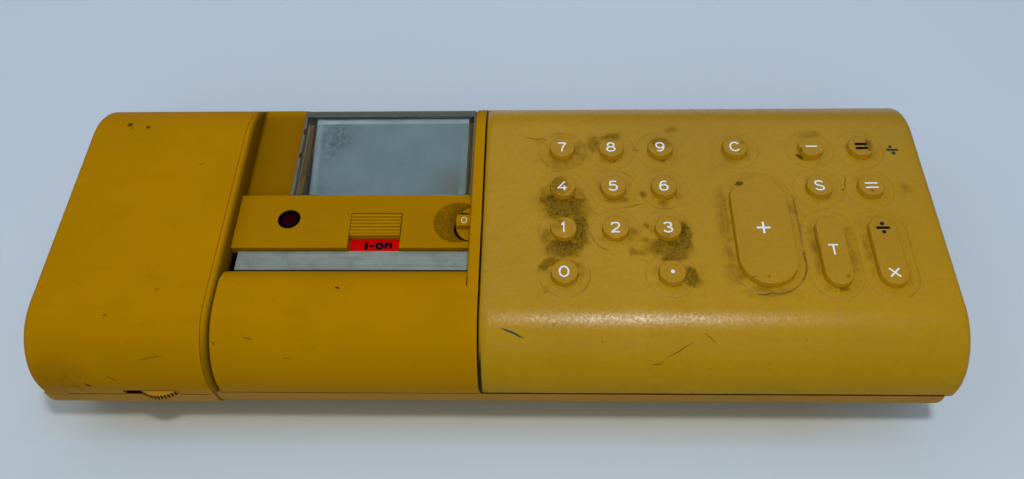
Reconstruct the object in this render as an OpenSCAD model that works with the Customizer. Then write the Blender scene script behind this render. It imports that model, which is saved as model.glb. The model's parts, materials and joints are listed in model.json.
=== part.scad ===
// Desk printing calculator: a slim bar with a power module on the left, a recessed
// printer in the middle and a soft keyboard skin on the right.
// Millimetres. Origin under the middle of the body on the table, +X right, +Y back, +Z up.

/* [Body] */
// Length of the whole machine
body_len = 311; // [306:1:320]
// Depth of the whole machine
body_dep = 121; // [119:1:126]
// Height of the flat top above the table
body_top = 45; // [44.5:0.5:48]
// Height of the seam between the covers and the trays
seam_z = 21; // [20:0.5:22]
// Drop of the power module's seam below the body's seam
seam_drop = 2; // [1.6:0.1:2.2]
// Radius of the front nose
nose_r = 22; // [20:0.5:22.5]
// Radius of the back edge
back_r = 25; // [23:0.5:25.5]
// Rounding of the two far ends of the covers
end_r = 2.5; // [1:0.5:4]
// Height of the rubber feet
foot_h = 3; // [2:0.5:4]
// Wall of the hard covers
shell_t = 2.2; // [1.8:0.1:2.6]

/* [Trays] */
// Wall of the trays
tray_t = 2.2; // [1.8:0.1:2.6]
// Radius of the bottom edges
tray_r = 12; // [9:0.5:13]
// Step back of the main tray under the covers, front and back
tray_in = 1.2; // [0.6:0.1:1.6]
// Step back of the main tray at the right end
tray_in_end = 2.4; // [1:0.2:3]
// Step back of the power module's tray
base_in = 0.3; // [0:0.1:0.8]
// Radius of a rubber foot
foot_r = 6.5; // [5:0.5:8]
// Radius of a foot's peg
foot_peg_r = 2; // [1.5:0.1:2.5]
// Distance of the feet from the middle line
foot_y = 31; // [26:1:33]
// Radius of a screw post
post_r = 4; // [3.8:0.1:4.4]
// Radius of a case screw's shank
screw_r = 1.5; // [1.2:0.1:1.8]
// Radius of a case screw's head
screw_head_r = 3; // [2.6:0.1:3.2]
// Distance of the screw posts from the front and the back of the body
post_back = 16.5; // [15.5:0.5:17.5]

/* [Sections] */
// Length of the power module
module_len = 60; // [58:1:63]
// Parting gap beside the power module
part_gap = 0.2; // [0.1:0.1:0.4]
// Thickness of the left bulkhead
rim_l = 2.4; // [2:0.2:3.4]
// Width of the printer bay between the bulkheads
bay_w = 85; // [84:0.5:87]
// Thickness of the right bulkhead
rim_r = 4; // [3.4:0.2:4.4]
// Rounding of the bulkheads' top edges
rim_round = 1.1; // [0.4:0.1:1.2]
// Gap between the right bulkhead and the keyboard
skin_gap = 0.4; // [0.3:0.1:0.6]

/* [Printer bay] */
// Depth of the deck below the flat top
deck_drop = 8.7; // [8:0.1:9]
// Thickness of the deck
deck_t = 2.4; // [2.2:0.1:2.8]
// Depth of the control bar's top below the flat top
bar_drop = 5; // [4.6:0.1:5.2]
// Distance from the back of the body to the rear edge of the control bar
bar_back = 51.2; // [50.5:0.1:52]
// Depth of the control bar, front to back
bar_d = 23.1; // [22.5:0.1:24]
// Depth of the bare name strip, front to back
plate_d = 7.9; // [7:0.1:8.2]
// Thickness of the bare name strip
plate_t = 2.1; // [1.6:0.1:2.4]
// Gap at the left end of the name strip
plate_gap = 2.4; // [1.5:0.1:3]
// Radius of the front cover's rear edge
cover_r = 10; // [8:0.5:11]
// Rounding of the front cover's ends
cover_end_r = 0.8; // [0.4:0.1:1.2]

/* [Lamp, switch and dial] */
// Radius of the lamp lens
lamp_r = 4; // [3.5:0.1:4.5]
// Radius of the lamp's body under the lens
lamp_stem_r = 2.5; // [2:0.1:3]
// Distance of the lamp from the left end of the bay
lamp_in = 19; // [15:0.5:24]
// Width of the on switch's thumb piece
switch_w = 18; // [16:0.5:20]
// Length of the thumb piece, front to back
switch_d = 9.3; // [8.5:0.1:10]
// Distance of the switch's left side from the left end of the bay
switch_in = 41.8; // [40:0.2:44]
// Travel of the switch
switch_travel = 5.4; // [4:0.1:5.8]
// Count of grip ribs on the thumb piece
switch_ribs = 6; // [4:1:7]
// Height of the grip ribs
rib_h = 0.5; // [0.3:0.1:0.8]
// Thickness of the red flag under the thumb piece
flag_t = 0.8; // [0.6:0.1:1]
// Radius of the decimal dial
dial_r = 7.85; // [7.4:0.05:8.2]
// Distance of the dial's centre behind the control bar's front edge
dial_in = 10.2; // [9.6:0.1:11]
// Width of the dial's raised grip
grip_w = 4.8; // [4:0.1:5.5]
// Rise of the grip above the dial
grip_h = 2.5; // [2:0.1:2.6]
// Radius of the dial's shaft
dial_shaft_r = 1.5; // [1.2:0.1:1.8]
// Radius of the finger scoop at the bar's surface
scoop_r = 9.2; // [8.5:0.1:9.5]
// Depth of the finger scoop
scoop_d = 2.2; // [1.6:0.1:2.6]

/* [Paper window] */
// Width of the bare deck left of the window
win_left = 17.5; // [17.1:0.1:17.9]
// Thickness of the clear plastic
win_t = 1.6; // [1.4:0.1:1.8]
// Width of the window's seat on the deck
win_seat = 3.4; // [3:0.1:3.5]
// Distance from the back of the body to the window's rear edge
win_back = 9.2; // [9:0.1:10.2]
// Radius of the window's bent rear edge
win_bend_r = 1; // [0.6:0.1:1.4]
// Height of the window's rear lip
lip_h = 3; // [2.6:0.1:3.2]
// Pitch of the tear teeth along the rear edge
tooth_pitch = 1.6; // [1.4:0.1:2]
// Depth of the tear teeth
tooth_d = 0.7; // [0.5:0.1:0.9]
// Radius of the hinge pins
hinge_pin_r = 0.7; // [0.5:0.05:0.75]

/* [Printer] */
// Margin of the window beside the paper
paper_margin = 4.6; // [4.5:0.1:5]
// Radius of the paper roll
roll_r = 13; // [11:0.5:13]
// Radius of the roll's spindle
spindle_r = 3; // [2.5:0.1:4]
// Radius of the rubber platen
platen_r = 6; // [5.5:0.1:6.2]
// Radius of the platen's shaft
platen_shaft_r = 2; // [1.5:0.1:2.4]
// Thickness of the paper strip
paper_t = 0.25; // [0.2:0.05:0.4]
// Thickness of the mechanism's side plates
plate_side_t = 1.5; // [1.2:0.1:1.7]
// Module of the feed gears
gear_m = 0.7; // [0.65:0.05:0.7]
// Teeth of the platen gear
gear_teeth = 20; // [18:1:20]
// Teeth of the motor pinion
pinion_teeth = 10; // [9:1:10]
// Thickness of the feed gears
gear_t = 2.4; // [2:0.1:2.6]
// Radius of the feed motor
feed_motor_r = 8; // [7:0.2:8.2]
// Length of the motors
motor_l = 13; // [11:0.5:13.5]
// Radius of the carriage motor
carriage_motor_r = 6; // [5:0.2:6.2]
// Radius of the carriage guide rods
rod_r = 1.5; // [1.2:0.1:1.8]
// Radius of the carriage lead screw
lead_r = 2; // [1.6:0.1:2.2]
// Width of the print carriage
carriage_w = 14; // [12:0.5:15]

/* [Keyboard] */
// Length of the keyboard in key pitches
key_cols = 8.8333; // [8.7:0.0001:9]
// Thickness of the soft skin
skin_t = 2; // [1.6:0.1:2]
// Thickness of the hard frame under the skin
frame_t = 2.2; // [1.8:0.1:2.6]
// Pitch of the key grid
key_pitch = 18; // [17.6:0.1:18.4]
// Diameter of a round key at its foot
key_d = 9.1; // [8.7:0.1:9.6]
// Draft of a key's side, from its foot to its top
key_draft = 0.1; // [0.05:0.05:0.3]
// Rounding of a key's top edge
key_round = 0.3; // [0.2:0.1:0.5]
// Height of the keys above the skin
key_h = 2.2; // [2:0.1:2.6]
// Travel of the keys
key_travel = 1.8; // [1.5:0.1:2]
// Distance of the first number column from the skin's left edge
number_in = 28.5; // [27:0.5:30]
// Height of the first key row above the middle line
first_row = 26; // [25:0.5:26]
// Distance of the last key column from the right end
last_in = 21.7; // [20:0.5:23]
// Distance of the clear key from the right end
clear_in = 67.2; // [66:0.2:68]
// Distance of the plus key from the right end
plus_in = 62.1; // [61.5:0.1:62.6]
// Width of the plus key
plus_w = 19.7; // [19:0.1:20]
// Length of the plus key
plus_l = 45; // [43:0.2:45.4]
// Width of the other long keys
long_w = 9.4; // [9:0.1:9.8]
// Length of the other long keys
long_l = 27.4; // [26:0.2:28]
// Distance of the skin's ring crease from a key
crease_out = 3.9; // [3.4:0.1:3.9]
// Distance of the ring crease from the plus key
plus_crease = 2.8; // [2.4:0.1:2.9]
// Width of the ring crease
crease_w = 0.4; // [0.3:0.1:0.5]
// Depth of the ring crease
crease_d = 0.25; // [0.15:0.05:0.4]
// Free ring of the frame round each key
ring_w = 3.2; // [2.8:0.1:3.4]
// Width of a key's flange under the skin
flange_w = 1.8; // [1.4:0.1:2]
// Thickness of a key's flange
flange_t = 1.2; // [1:0.1:1.4]
// Radius of a key's plunger
plunger_r = 2.2; // [1.8:0.1:2.6]
// Thickness of the circuit boards
board_t = 1.6; // [1.2:0.1:2]

/* [Release latch] */
// Width of the latch's thumb grip
latch_w = 12.3; // [11:0.1:13]
// Distance of the latch's middle from the module's right end
latch_in = 18.3; // [17.5:0.1:20]
// Thickness of the latch
latch_t = 2.2; // [1.8:0.1:2.6]
// How far the grip stands out of the front
latch_out = 2; // [1.4:0.1:2.4]
// Travel of the latch
latch_travel = 6; // [4:0.5:7]
// Count of grip notches
latch_notches = 11; // [8:1:12]

/* [Clearances] */
// Clearance of pieces that slide past each other
gap = 0.3; // [0.25:0.05:0.35]
// Clearance of pieces that are set in beside each other
set_gap = 0.15; // [0.1:0.05:0.2]
// Radial clearance of a turning shaft
run_gap = 0.05; // [0.03:0.01:0.08]
// Clearance of a peg or rod fixed in its hole
peg_gap = 0.02; // [0.01:0.01:0.04]

/* [Hidden] */
$fn = 96;
weld = 0.5;

// Outer faces of the body and the sections along it
x_l = -body_len / 2;
x_r = body_len / 2;
y_f = -body_dep / 2;
y_b = body_dep / 2;
post_y = y_b - post_back;
x_mod = x_l + module_len;
x_bl = x_mod + part_gap;
x_bay0 = x_bl + rim_l;
x_bay1 = x_bay0 + bay_w;
x_br = x_bay1 + rim_r;
x_skin = x_br + skin_gap;

// Centres of the nose and back arcs
nose_y = y_f + nose_r;
nose_z = body_top - nose_r;
back_y = y_b - back_r;
back_z = body_top - back_r;

// Trays
floor_z = foot_h + tray_t;
tray_y0 = y_f + tray_in;
tray_y1 = y_b - tray_in;
tray_x1 = x_r - tray_in_end;
screw_sink = 0.4;
screw_low = foot_h + screw_sink;
screw_head_h = 1.6;
screw_len = 24;
foot_end_in = 9.5;
tray_foot_x = [x_bl + foot_end_in, tray_x1 - tray_r - foot_r];
module_foot_x = x_l + base_in + tray_r + foot_end_in;

// Printer bay heights and the chain of pieces from the back to the front cover
deck_z = body_top - deck_drop;
bar_z = body_top - bar_drop;
bar_y1 = y_b - bar_back;
bar_y0 = bar_y1 - bar_d;
plate_y1 = bar_y0 - gap;
plate_y0 = plate_y1 - plate_d;
cover_y1 = plate_y0 - gap;
cover_yc = cover_y1 - cover_r;
cover_zc = body_top - cover_r;
deck_lap = 2;
deck_y0 = cover_y1 - shell_t - deck_lap;
cover_post_h = 12;

// Lamp, switch and dial
lamp_x = x_bay0 + lamp_in;
lamp_back = 10.6;
lamp_y = bar_y1 - lamp_back;
lamp_reach = 1.5;
lamp_low = 0.4;
lamp_stem_z = deck_z - deck_t - lamp_reach;
switch_x0 = x_bay0 + switch_in;
switch_x1 = switch_x0 + switch_w;
switch_y1 = bar_y0 + switch_travel + switch_d;
switch_y0 = switch_y1 - switch_d;
stem_w = 4;
stem_d = 2.6;
stem_x0 = switch_x0 + (switch_w - stem_w) / 2;
stem_y1 = switch_y1 - 2 * gap;
slot_y0 = stem_y1 - stem_d - switch_travel - gap;
switch_box_h = 4.4;
stem_z = deck_z - deck_t - switch_box_h / 2;
dial_past = 2.4;
dial_x = x_bay1 + dial_past;
dial_y = bar_y0 + dial_in;
boss_r = 4;
boss_h = 8;
boss_z = deck_z - boss_h;
dial_box_r = 5;
dial_box_h = 6;
scoop_left = 7.2;
scoop_back = 0.9;
scoop_x = dial_x - scoop_left;
scoop_y = dial_y + scoop_back;
scoop_ball_r = (scoop_r * scoop_r + scoop_d * scoop_d) / (2 * scoop_d);

// Window and its hinge
win_x1 = x_bay1 - gap;
win_x0 = x_bay0 + win_left;
win_w = win_x1 - win_x0;
win_y0 = bar_y1 + gap;
win_y1 = y_b - win_back;
lip_z = bar_z - lip_h;
hinge_in = 2.5;
hinge_y = win_y1 - hinge_in;
hinge_z = deck_z - deck_t / 2;
ear_wall = 1;
ear_r = hinge_pin_r + ear_wall;
hinge_pin_l = 2;
skirt_z = deck_z + gap / 3;
swing_y = hinge_y - ear_r - 2 * gap;
notch_d = 4;
notch_z = deck_z - notch_d;

// Printing mechanism
paper_x0 = win_x0 + paper_margin;
paper_x1 = win_x1 - paper_margin;
side_in_l = 1.2;
side_in_r = 0.4;
side_l = paper_x0 - side_in_l - plate_side_t;
side_r = paper_x1 + side_in_r;
side_x1 = side_r + plate_side_t;
platen_back = 2.2;
platen_low = 3.2;
platen_y = bar_y1 + platen_back;
platen_z = deck_z - deck_t - platen_r - platen_low;
wrap_r = platen_r + gap + paper_t / 2;
roll_apart = 2.5;
roll_lift = 1.3;
roll_y = platen_y + platen_r + roll_r + roll_apart;
roll_z = floor_z + roll_r + roll_lift;
unroll_r = roll_r + gap + paper_t / 2;
gear_r = gear_m * gear_teeth / 2;
pinion_r = gear_m * pinion_teeth / 2;
mesh_slack = 0.12;
motor_y = platen_y;
motor_z = platen_z - gear_r - pinion_r - mesh_slack;
motor_flat = feed_motor_r * 0.82;
pinion_shaft_r = 1;
gear_x0 = side_l - gap - gear_t;
motor_x1 = gear_x0 - 2 * gap;
carriage_y1 = platen_y - wrap_r - paper_t - 2 * gap;
carriage_nose = 3.4;
carriage_d = 11;
carriage_h = 14;
carriage_over = 4;
rod_in = 3;
lead_in = 3.6;
carriage_y0 = carriage_y1 - carriage_nose - carriage_d;
carriage_z0 = platen_z - carriage_h + carriage_over;
carriage_x0 = side_l + plate_side_t + gap;
rod_y = carriage_y0 + carriage_d - rod_in;
rod_z = [carriage_z0 + rod_in, carriage_z0 + carriage_h - rod_in];
lead_y = carriage_y0 + lead_in;
lead_z = carriage_z0 + carriage_h / 2;
side_top = deck_z - deck_t - 2 * gap;
side_front = 2;
side_y0 = carriage_y0 - side_front;
side_y1 = roll_y + roll_r;

// Plug between the power module and the printer
plug_y = (motor_y + feed_motor_r + post_y - post_r) / 2;
plug_w = 12;
plug_h = 6;
plug_up = 3;
plug_z = seam_z + plug_up;
plug_reach = 7;
socket_wall = 2;
socket_l = 7.5;

// Keyboard
skin_in = skin_t + set_gap;
frame_in = skin_in + frame_t;
flange_z1 = body_top - skin_t - gap;
flange_z0 = flange_z1 - flange_t;
dome_h = 1.2;
plunger_l = 5.5;
plunger_z = flange_z0 - plunger_l;
dome_z = plunger_z - key_travel - gap - dome_h;
spread = (x_r - x_skin) / (key_cols * key_pitch);
snug = min(spread, 1);
round_d = key_d * snug;
slim_w = long_w * snug;
flange = flange_w * snug;
frame_ring = ring_w * snug;
crease_in = crease_out * snug;
plus_ring = plus_crease * snug;
col_pitch = key_pitch * spread;
number_x = x_skin + number_in * spread;
last_x = x_r - last_in * spread;
prev_x = last_x - col_pitch;
row = [for (k = [0:3]) first_row - k * key_pitch];
long_down = 9.3;
plus_down = 0.2;
long_y = row[2] - long_down;
plus_y = row[2] - plus_down;

// Each key: middle, width and length
k_7 = [number_x, row[0], round_d, round_d];
k_8 = [number_x + col_pitch, row[0], round_d, round_d];
k_9 = [number_x + 2 * col_pitch, row[0], round_d, round_d];
k_4 = [number_x, row[1], round_d, round_d];
k_5 = [number_x + col_pitch, row[1], round_d, round_d];
k_6 = [number_x + 2 * col_pitch, row[1], round_d, round_d];
k_1 = [number_x, row[2], round_d, round_d];
k_2 = [number_x + col_pitch, row[2], round_d, round_d];
k_3 = [number_x + 2 * col_pitch, row[2], round_d, round_d];
k_0 = [number_x, row[3], round_d, round_d];
k_point = [number_x + 2 * col_pitch, row[3], round_d, round_d];
k_clear = [x_r - clear_in * spread, row[0], round_d, round_d];
k_minus = [prev_x, row[0], round_d, round_d];
k_result = [last_x, row[0], round_d, round_d];
k_sub = [prev_x, row[1], round_d, round_d];
k_equals = [last_x, row[1], round_d, round_d];
k_plus = [x_r - plus_in * spread, plus_y, plus_w * spread, plus_l];
k_total = [prev_x, long_y, slim_w, long_l];
k_ratio = [last_x, long_y, slim_w, long_l];
keys = [k_7, k_8, k_9, k_4, k_5, k_6, k_1, k_2, k_3, k_0, k_point, k_clear, k_minus,
        k_result, k_sub, k_equals, k_plus, k_total, k_ratio];

// Screw posts: three under the printer, four under the keyboard
post_in = 3;
printer_posts = [[x_bay0 + post_in, -post_y], [x_bay1 - post_in, -post_y], [x_bay0 + post_in, post_y]];
board_in = 12;
board_x0 = x_skin + board_in;
board_x1 = tray_x1 - tray_r;
keyboard_posts = [for (x = [board_x0, board_x1 - post_in], s = [-1, 1]) [x, s * post_y]];
board_half = post_y - post_r - 1;
hanger_r = 2.5;
hanger_in = 4;
contact_x1 = x_r - frame_in - hanger_in;
standoff_x = [board_x0 + hanger_in, tray_foot_x[1] - foot_r - hanger_r];
standoff_h = 4.8;

// Power module
latch_x = x_mod - latch_in;
latch_x0 = latch_x - latch_w / 2;
latch_x1 = latch_x + latch_w / 2;
mod_seam = seam_z - seam_drop;
latch_z0 = mod_seam + gap;
latch_z1 = latch_z0 + latch_t;
latch_arc_r = (latch_w * latch_w / 4 + latch_out * latch_out) / (2 * latch_out);
latch_arc_y = y_f - latch_out + latch_arc_r;
latch_deep = 4;
latch_arm_y = y_f + shell_t + latch_deep;
latch_arm_d = 3;
latch_bolt = 1.2;
cell_r = 7;
cell_l = 50;
cell_gap = 0.3;
cell_y0 = -5;
core_l = 34;
core_d = 30;
core_h = 26;
coil_out = 4;
coil_clear = 2;
core_x0 = x_l + base_in + tray_r;
core_y0 = latch_arm_y + latch_arm_d + coil_out + coil_clear;

yellow = "#d9a21a";
skin_yellow = "#cfa33a";
steel = "#b9bcc0";

// Extrudes a side view, drawn as depth and height, from x0 to x1
module along_x(x0, x1) {
  translate([x0, 0, 0]) rotate([90, 0, 90]) linear_extrude(x1 - x0) children();
}

// Extrudes a front view, drawn as length and height, from y0 to y1
module along_y(y0, y1) {
  translate([0, y1, 0]) rotate([90, 0, 0]) linear_extrude(y1 - y0) children();
}

// Extrudes a plan from z0 to z1
module up(z0, z1) {
  translate([0, 0, z0]) linear_extrude(z1 - z0) children();
}

// A box given by its two corners
module span(a, b) {
  translate(a) cube(b - a);
}

// A round bar along X
module rod_x(x0, x1, y, z, r) {
  translate([x0, y, z]) rotate([0, 90, 0]) cylinder(h = x1 - x0, r = r);
}

// The body's side view above the given height, drawn in by inset
module section(inset, low) {
  intersection() {
    union() {
      translate([nose_y, nose_z]) circle(nose_r - inset);
      translate([back_y, back_z]) circle(back_r - inset);
      translate([nose_y, 0]) square([back_y - nose_y, body_top - inset]);
      translate([y_f + inset, 0]) square([nose_r - inset, nose_z]);
      translate([back_y, 0]) square([back_r - inset, back_z]);
    }
    translate([y_f, low]) square([body_dep, body_top - low]);
  }
}

// The body's side view as a solid from x0 to x1, its left edge rounded by r0 and its right edge by r1
module rounded_section(x0, x1, r0, r1, low = seam_z) {
  steps = 4;
  hull() {
    for (k = [0:steps]) {
      out = 1 - cos(90 * k / steps);
      in = 1 - sin(90 * k / steps);
      along_x(x0 + r0 * out, x1 - r1 * out) section(max(r0, r1) * in, low);
    }
  }
}

// Front view of a tray with rounded lower corners
module tray_outline(a0, a1, z0, z1, r, round0, round1) {
  in0 = round0 ? r : 0;
  in1 = round1 ? r : 0;
  intersection() {
    union() {
      translate([a0 + in0, z0]) square([a1 - a0 - in0 - in1, z1 - z0]);
      translate([a0, z0 + r]) square([a1 - a0, z1 - z0 - r]);
      if (round0) translate([a0 + r, z0 + r]) circle(r);
      if (round1) translate([a1 - r, z0 + r]) circle(r);
    }
    translate([a0, z0]) square([a1 - a0, z1 - z0]);
  }
}

// A solid tray shape with rounded lower edges, drawn in by inset
module tray_solid(x0, x1, y0, y1, inset, top, round0, round1) {
  r = tray_r - inset;
  ends = [x0 + inset, x1 - inset];
  sides = [y0 + inset, y1 - inset];
  intersection() {
    along_x(ends[0], ends[1]) tray_outline(sides[0], sides[1], foot_h + inset, top, r, true, true);
    along_y(sides[0], sides[1]) tray_outline(ends[0], ends[1], foot_h + inset, top, r, round0, round1);
  }
}

// A key's outline, grown by grow all round
module key_outline(k, grow) {
  w = k[2];
  l = k[3];
  r = w / 2 + grow;
  translate([k[0], k[1]]) {
    if (l > w) {
      for (s = [-1, 1]) translate([0, s * (l - w) / 2]) circle(r);
      translate([-r, -(l - w) / 2]) square([2 * r, l - w]);
    } else {
      circle(r);
    }
  }
}

// Places of a key's plungers: one under a round key, two under a long one
function plungers(k) = k[3] > k[2]
  ? [for (s = [-1, 1]) [k[0], k[1] + s * (k[3] - k[2]) / 2]]
  : [[k[0], k[1]]];

// Half of a key's cross view: neck, drafted side and rounded top edge
module key_profile(r) {
  top = body_top + key_h;
  shoulder = top - key_round;
  rim = r - key_draft;
  polygon([[0, flange_z0], [r, flange_z0], [r, body_top], [rim, shoulder], [0, shoulder]]);
  translate([0, shoulder - weld]) square([rim - key_round, key_round + weld]);
  intersection() {
    translate([rim - key_round, shoulder]) circle(key_round);
    translate([0, shoulder]) square([rim, key_round]);
  }
}

// A key's nub and neck: a turned shape, drawn out along its length where the key is long
module key_nub(k) {
  r = k[2] / 2;
  run = k[3] - k[2];
  translate([k[0], k[1], 0]) {
    if (run > 0) {
      for (s = [-1, 1]) translate([0, s * run / 2, 0]) rotate_extrude() key_profile(r);
      for (side = [0, 1]) mirror([side, 0, 0]) along_y(-run / 2, run / 2) key_profile(r);
    } else {
      rotate_extrude() key_profile(r);
    }
  }
}

// A whole key: nub, neck, flange under the skin and plungers
module key(k) {
  color(skin_yellow) union() {
    key_nub(k);
    up(flange_z0, flange_z1) key_outline(k, flange);
    for (p = plungers(k)) {
      translate([p[0], p[1], plunger_z]) cylinder(h = plunger_l + weld, r = plunger_r);
    }
  }
}

// Gear outline: straight-flanked teeth, thinner towards the tip
module gear_outline(teeth, first) {
  r = gear_m * teeth / 2;
  step = 360 / teeth;
  root = r - 1.15 * gear_m;
  tip = r + 0.8 * gear_m;
  flank = [[root, -0.34], [r, -0.21], [tip, -0.09], [tip, 0.09], [r, 0.21], [root, 0.34]];
  polygon([
    for (i = [0:teeth - 1], p = flank)
      let (a = first + (i + p[1]) * step)
      p[0] * [cos(a), sin(a)]
  ]);
}

module base_tray() {
  color(yellow) difference() {
    union() {
      difference() {
        tray_solid(x_bl, tray_x1, tray_y0, tray_y1, 0, seam_z, false, true);
        tray_solid(x_bl, tray_x1, tray_y0, tray_y1, tray_t, seam_z + 1, false, true);
      }
      for (p = concat(printer_posts, keyboard_posts)) {
        translate([p[0], p[1], foot_h + weld]) cylinder(h = seam_z - foot_h - weld, r = post_r);
      }
      for (x = standoff_x, s = [-1, 1]) {
        translate([x, s * (board_half - hanger_in), floor_z - weld])
          cylinder(h = standoff_h + weld, r = hanger_r);
      }
    }
    for (p = concat(printer_posts, keyboard_posts)) translate([p[0], p[1], 0]) {
      cylinder(h = screw_low + screw_head_h, r = screw_head_r + gap);
      cylinder(h = seam_z + 1, r = screw_r + peg_gap);
    }
    for (x = tray_foot_x, s = [-1, 1]) {
      translate([x, s * foot_y, 0]) cylinder(h = floor_z + 1, r = foot_peg_r + peg_gap);
    }
    bolt_hole(x_bl - 1, x_bl + latch_bolt + gap);
  }
}

// A rubber foot with its peg
module foot() {
  cylinder(h = foot_h, r = foot_r);
  cylinder(h = floor_z, r = foot_peg_r);
}

module tray_feet() {
  color("#3a3630") for (x = tray_foot_x, s = [-1, 1]) translate([x, s * foot_y, 0]) foot();
}

module base_screws() {
  color(steel) for (p = concat(printer_posts, keyboard_posts)) translate([p[0], p[1], screw_low]) {
    difference() {
      cylinder(h = screw_head_h, r = screw_head_r);
      span([-screw_head_r, -screw_r / 4, -1], [screw_head_r, screw_r / 4, screw_head_h / 2]);
    }
    cylinder(h = screw_len, r = screw_r);
  }
}

// Side view of the deck and the rear wall below it
module deck_section() {
  intersection() {
    union() {
      translate([deck_y0, deck_z - deck_t]) square([y_b - deck_y0, deck_t]);
      difference() {
        section(0, seam_z);
        section(shell_t, seam_z - 1);
        translate([y_f, seam_z - 1]) square([back_y - y_f, body_top]);
      }
    }
    section(0, seam_z);
    translate([deck_y0, seam_z]) square([y_b - deck_y0, deck_z - seam_z]);
  }
}

// The way of the latch bolt through a wall
module bolt_hole(x0, x1) {
  y1 = latch_arm_y + latch_arm_d + gap;
  span([x0, latch_arm_y - gap, latch_z0 - gap - weld], [x1, y1, latch_z1 + gap]);
}

// The power plug's outline, grown by grow, from x0 to x1
module plug_hole(x0, x1, grow) {
  half = plug_w / 2 + grow;
  span([x0, plug_y - half, plug_z - grow], [x1, plug_y + half, plug_z + plug_h + grow]);
}

module printer_housing() {
  color(yellow) difference() {
    union() {
      rounded_section(x_bl, x_bay0, 0, rim_round);
      rounded_section(x_bay1, x_br, rim_round, 0);
      along_x(x_bay0 - weld, x_bay1 + weld) deck_section();
      translate([dial_x, dial_y, boss_z]) cylinder(h = deck_z - boss_z, r = boss_r);
      for (p = printer_posts) {
        h = p[1] < 0 ? cover_post_h : deck_z - deck_t / 2 - seam_z;
        translate([p[0], p[1], seam_z]) cylinder(h = h, r = post_r);
      }
    }
    for (p = printer_posts) {
      translate([p[0], p[1], 0]) cylinder(h = screw_low + screw_len + gap, r = screw_r + peg_gap);
    }
    span([win_x0 + win_seat, bar_y1, deck_z - deck_t - 1], [win_x1 - win_seat, swing_y + weld, deck_z + 1]);
    span([win_x0 - gap, swing_y, notch_z], [x_bay1, y_b + 1, deck_z + 1]);
    rod_x(win_x0 - gap - hinge_pin_l, win_x0, hinge_y, hinge_z, hinge_pin_r + run_gap);
    rod_x(x_bay1 - weld, x_bay1 + hinge_pin_l, hinge_y, hinge_z, hinge_pin_r + run_gap);
    translate([lamp_x, lamp_y, 0]) cylinder(h = body_top, r = lamp_stem_r + set_gap);
    span([stem_x0 - gap, slot_y0, deck_z - deck_t - 1],
      [stem_x0 + stem_w + gap, stem_y1 + gap, deck_z + 1]);
    translate([dial_x, dial_y, deck_z]) cylinder(h = grip_h + bar_z - deck_z + gap, r = dial_r + gap);
    translate([dial_x, dial_y, boss_z - 1]) cylinder(h = deck_z - boss_z + 2, r = dial_shaft_r + run_gap);
    translate([dial_x, dial_y, boss_z - dial_box_h - gap])
      cylinder(h = dial_box_h + gap, r = dial_box_r + set_gap);
    along_x(x_bay1 - weld, x_br + 1) lap_section(shell_t + set_gap, cover_yc + set_gap);
    bolt_hole(x_bl - 1, x_bay0 + 1);
    plug_hole(x_bl - 1, x_bay0 + 1, gap);
  }
}

// The front cover's convex outline, drawn in by inset
module cover_outline(inset) {
  intersection() {
    union() {
      translate([nose_y, nose_z]) circle(nose_r - inset);
      translate([cover_yc, cover_zc]) circle(cover_r - inset);
      translate([nose_y, 0]) square([cover_yc - nose_y, body_top - inset]);
      translate([y_f + inset, 0]) square([nose_r - inset, nose_z]);
      translate([cover_yc, 0]) square([cover_r - inset, cover_zc]);
    }
    translate([y_f, seam_z]) square([cover_y1 - inset - y_f, body_top - seam_z]);
  }
}

// Side view of the front cover where it laps over the right bulkhead
module lap_section(inset, rear) {
  difference() {
    section(0, seam_z);
    section(inset, seam_z - 1);
    translate([rear, seam_z - 1]) square([body_dep, body_top]);
  }
}

module front_cover() {
  x0 = x_bay0 + set_gap;
  x1 = x_bay1 - set_gap;
  steps = 3;
  color(yellow) union() {
    difference() {
      hull() {
        for (k = [0:steps]) {
          out = cover_end_r * (1 - cos(90 * k / steps));
          along_x(x0 + out, x1) cover_outline(cover_end_r * (1 - sin(90 * k / steps)));
        }
      }
      along_x(x0 - 1, x1 + 1) cover_outline(shell_t);
      span([x0 - 1, nose_y, seam_z - 1], [x1 + 1, cover_y1 + 1, deck_z]);
    }
    along_x(x1 - weld, x_br) lap_section(shell_t, cover_yc);
  }
}

module control_bar() {
  x0 = x_bay0 + set_gap;
  x1 = x_bay1 - set_gap;
  color(yellow) difference() {
    span([x0, bar_y0, deck_z], [x1, bar_y1, bar_z]);
    translate([lamp_x, lamp_y, 0]) cylinder(h = body_top, r = lamp_r + set_gap);
    span([switch_x0 - gap, bar_y0 - 1, deck_z - 1], [switch_x1 + gap, switch_y1 + gap, bar_z + 1]);
    translate([dial_x, dial_y, 0]) cylinder(h = body_top, r = dial_r + gap);
    translate([scoop_x, scoop_y, bar_z - scoop_d + scoop_ball_r]) sphere(scoop_ball_r);
  }
}

module name_plate() {
  color(steel) span([x_bay0 + plate_gap, plate_y0, deck_z], [x_bay1 - set_gap, plate_y1, deck_z + plate_t]);
}

module lamp_lens() {
  dome_r = 10;
  top = bar_z - lamp_low;
  color("#5a1118") translate([lamp_x, lamp_y, 0]) {
    intersection() {
      translate([0, 0, deck_z]) cylinder(h = top - deck_z, r = lamp_r);
      translate([0, 0, top - dome_r]) sphere(dome_r);
    }
    translate([0, 0, lamp_stem_z]) cylinder(h = deck_z - lamp_stem_z + weld, r = lamp_stem_r);
  }
}

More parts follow.
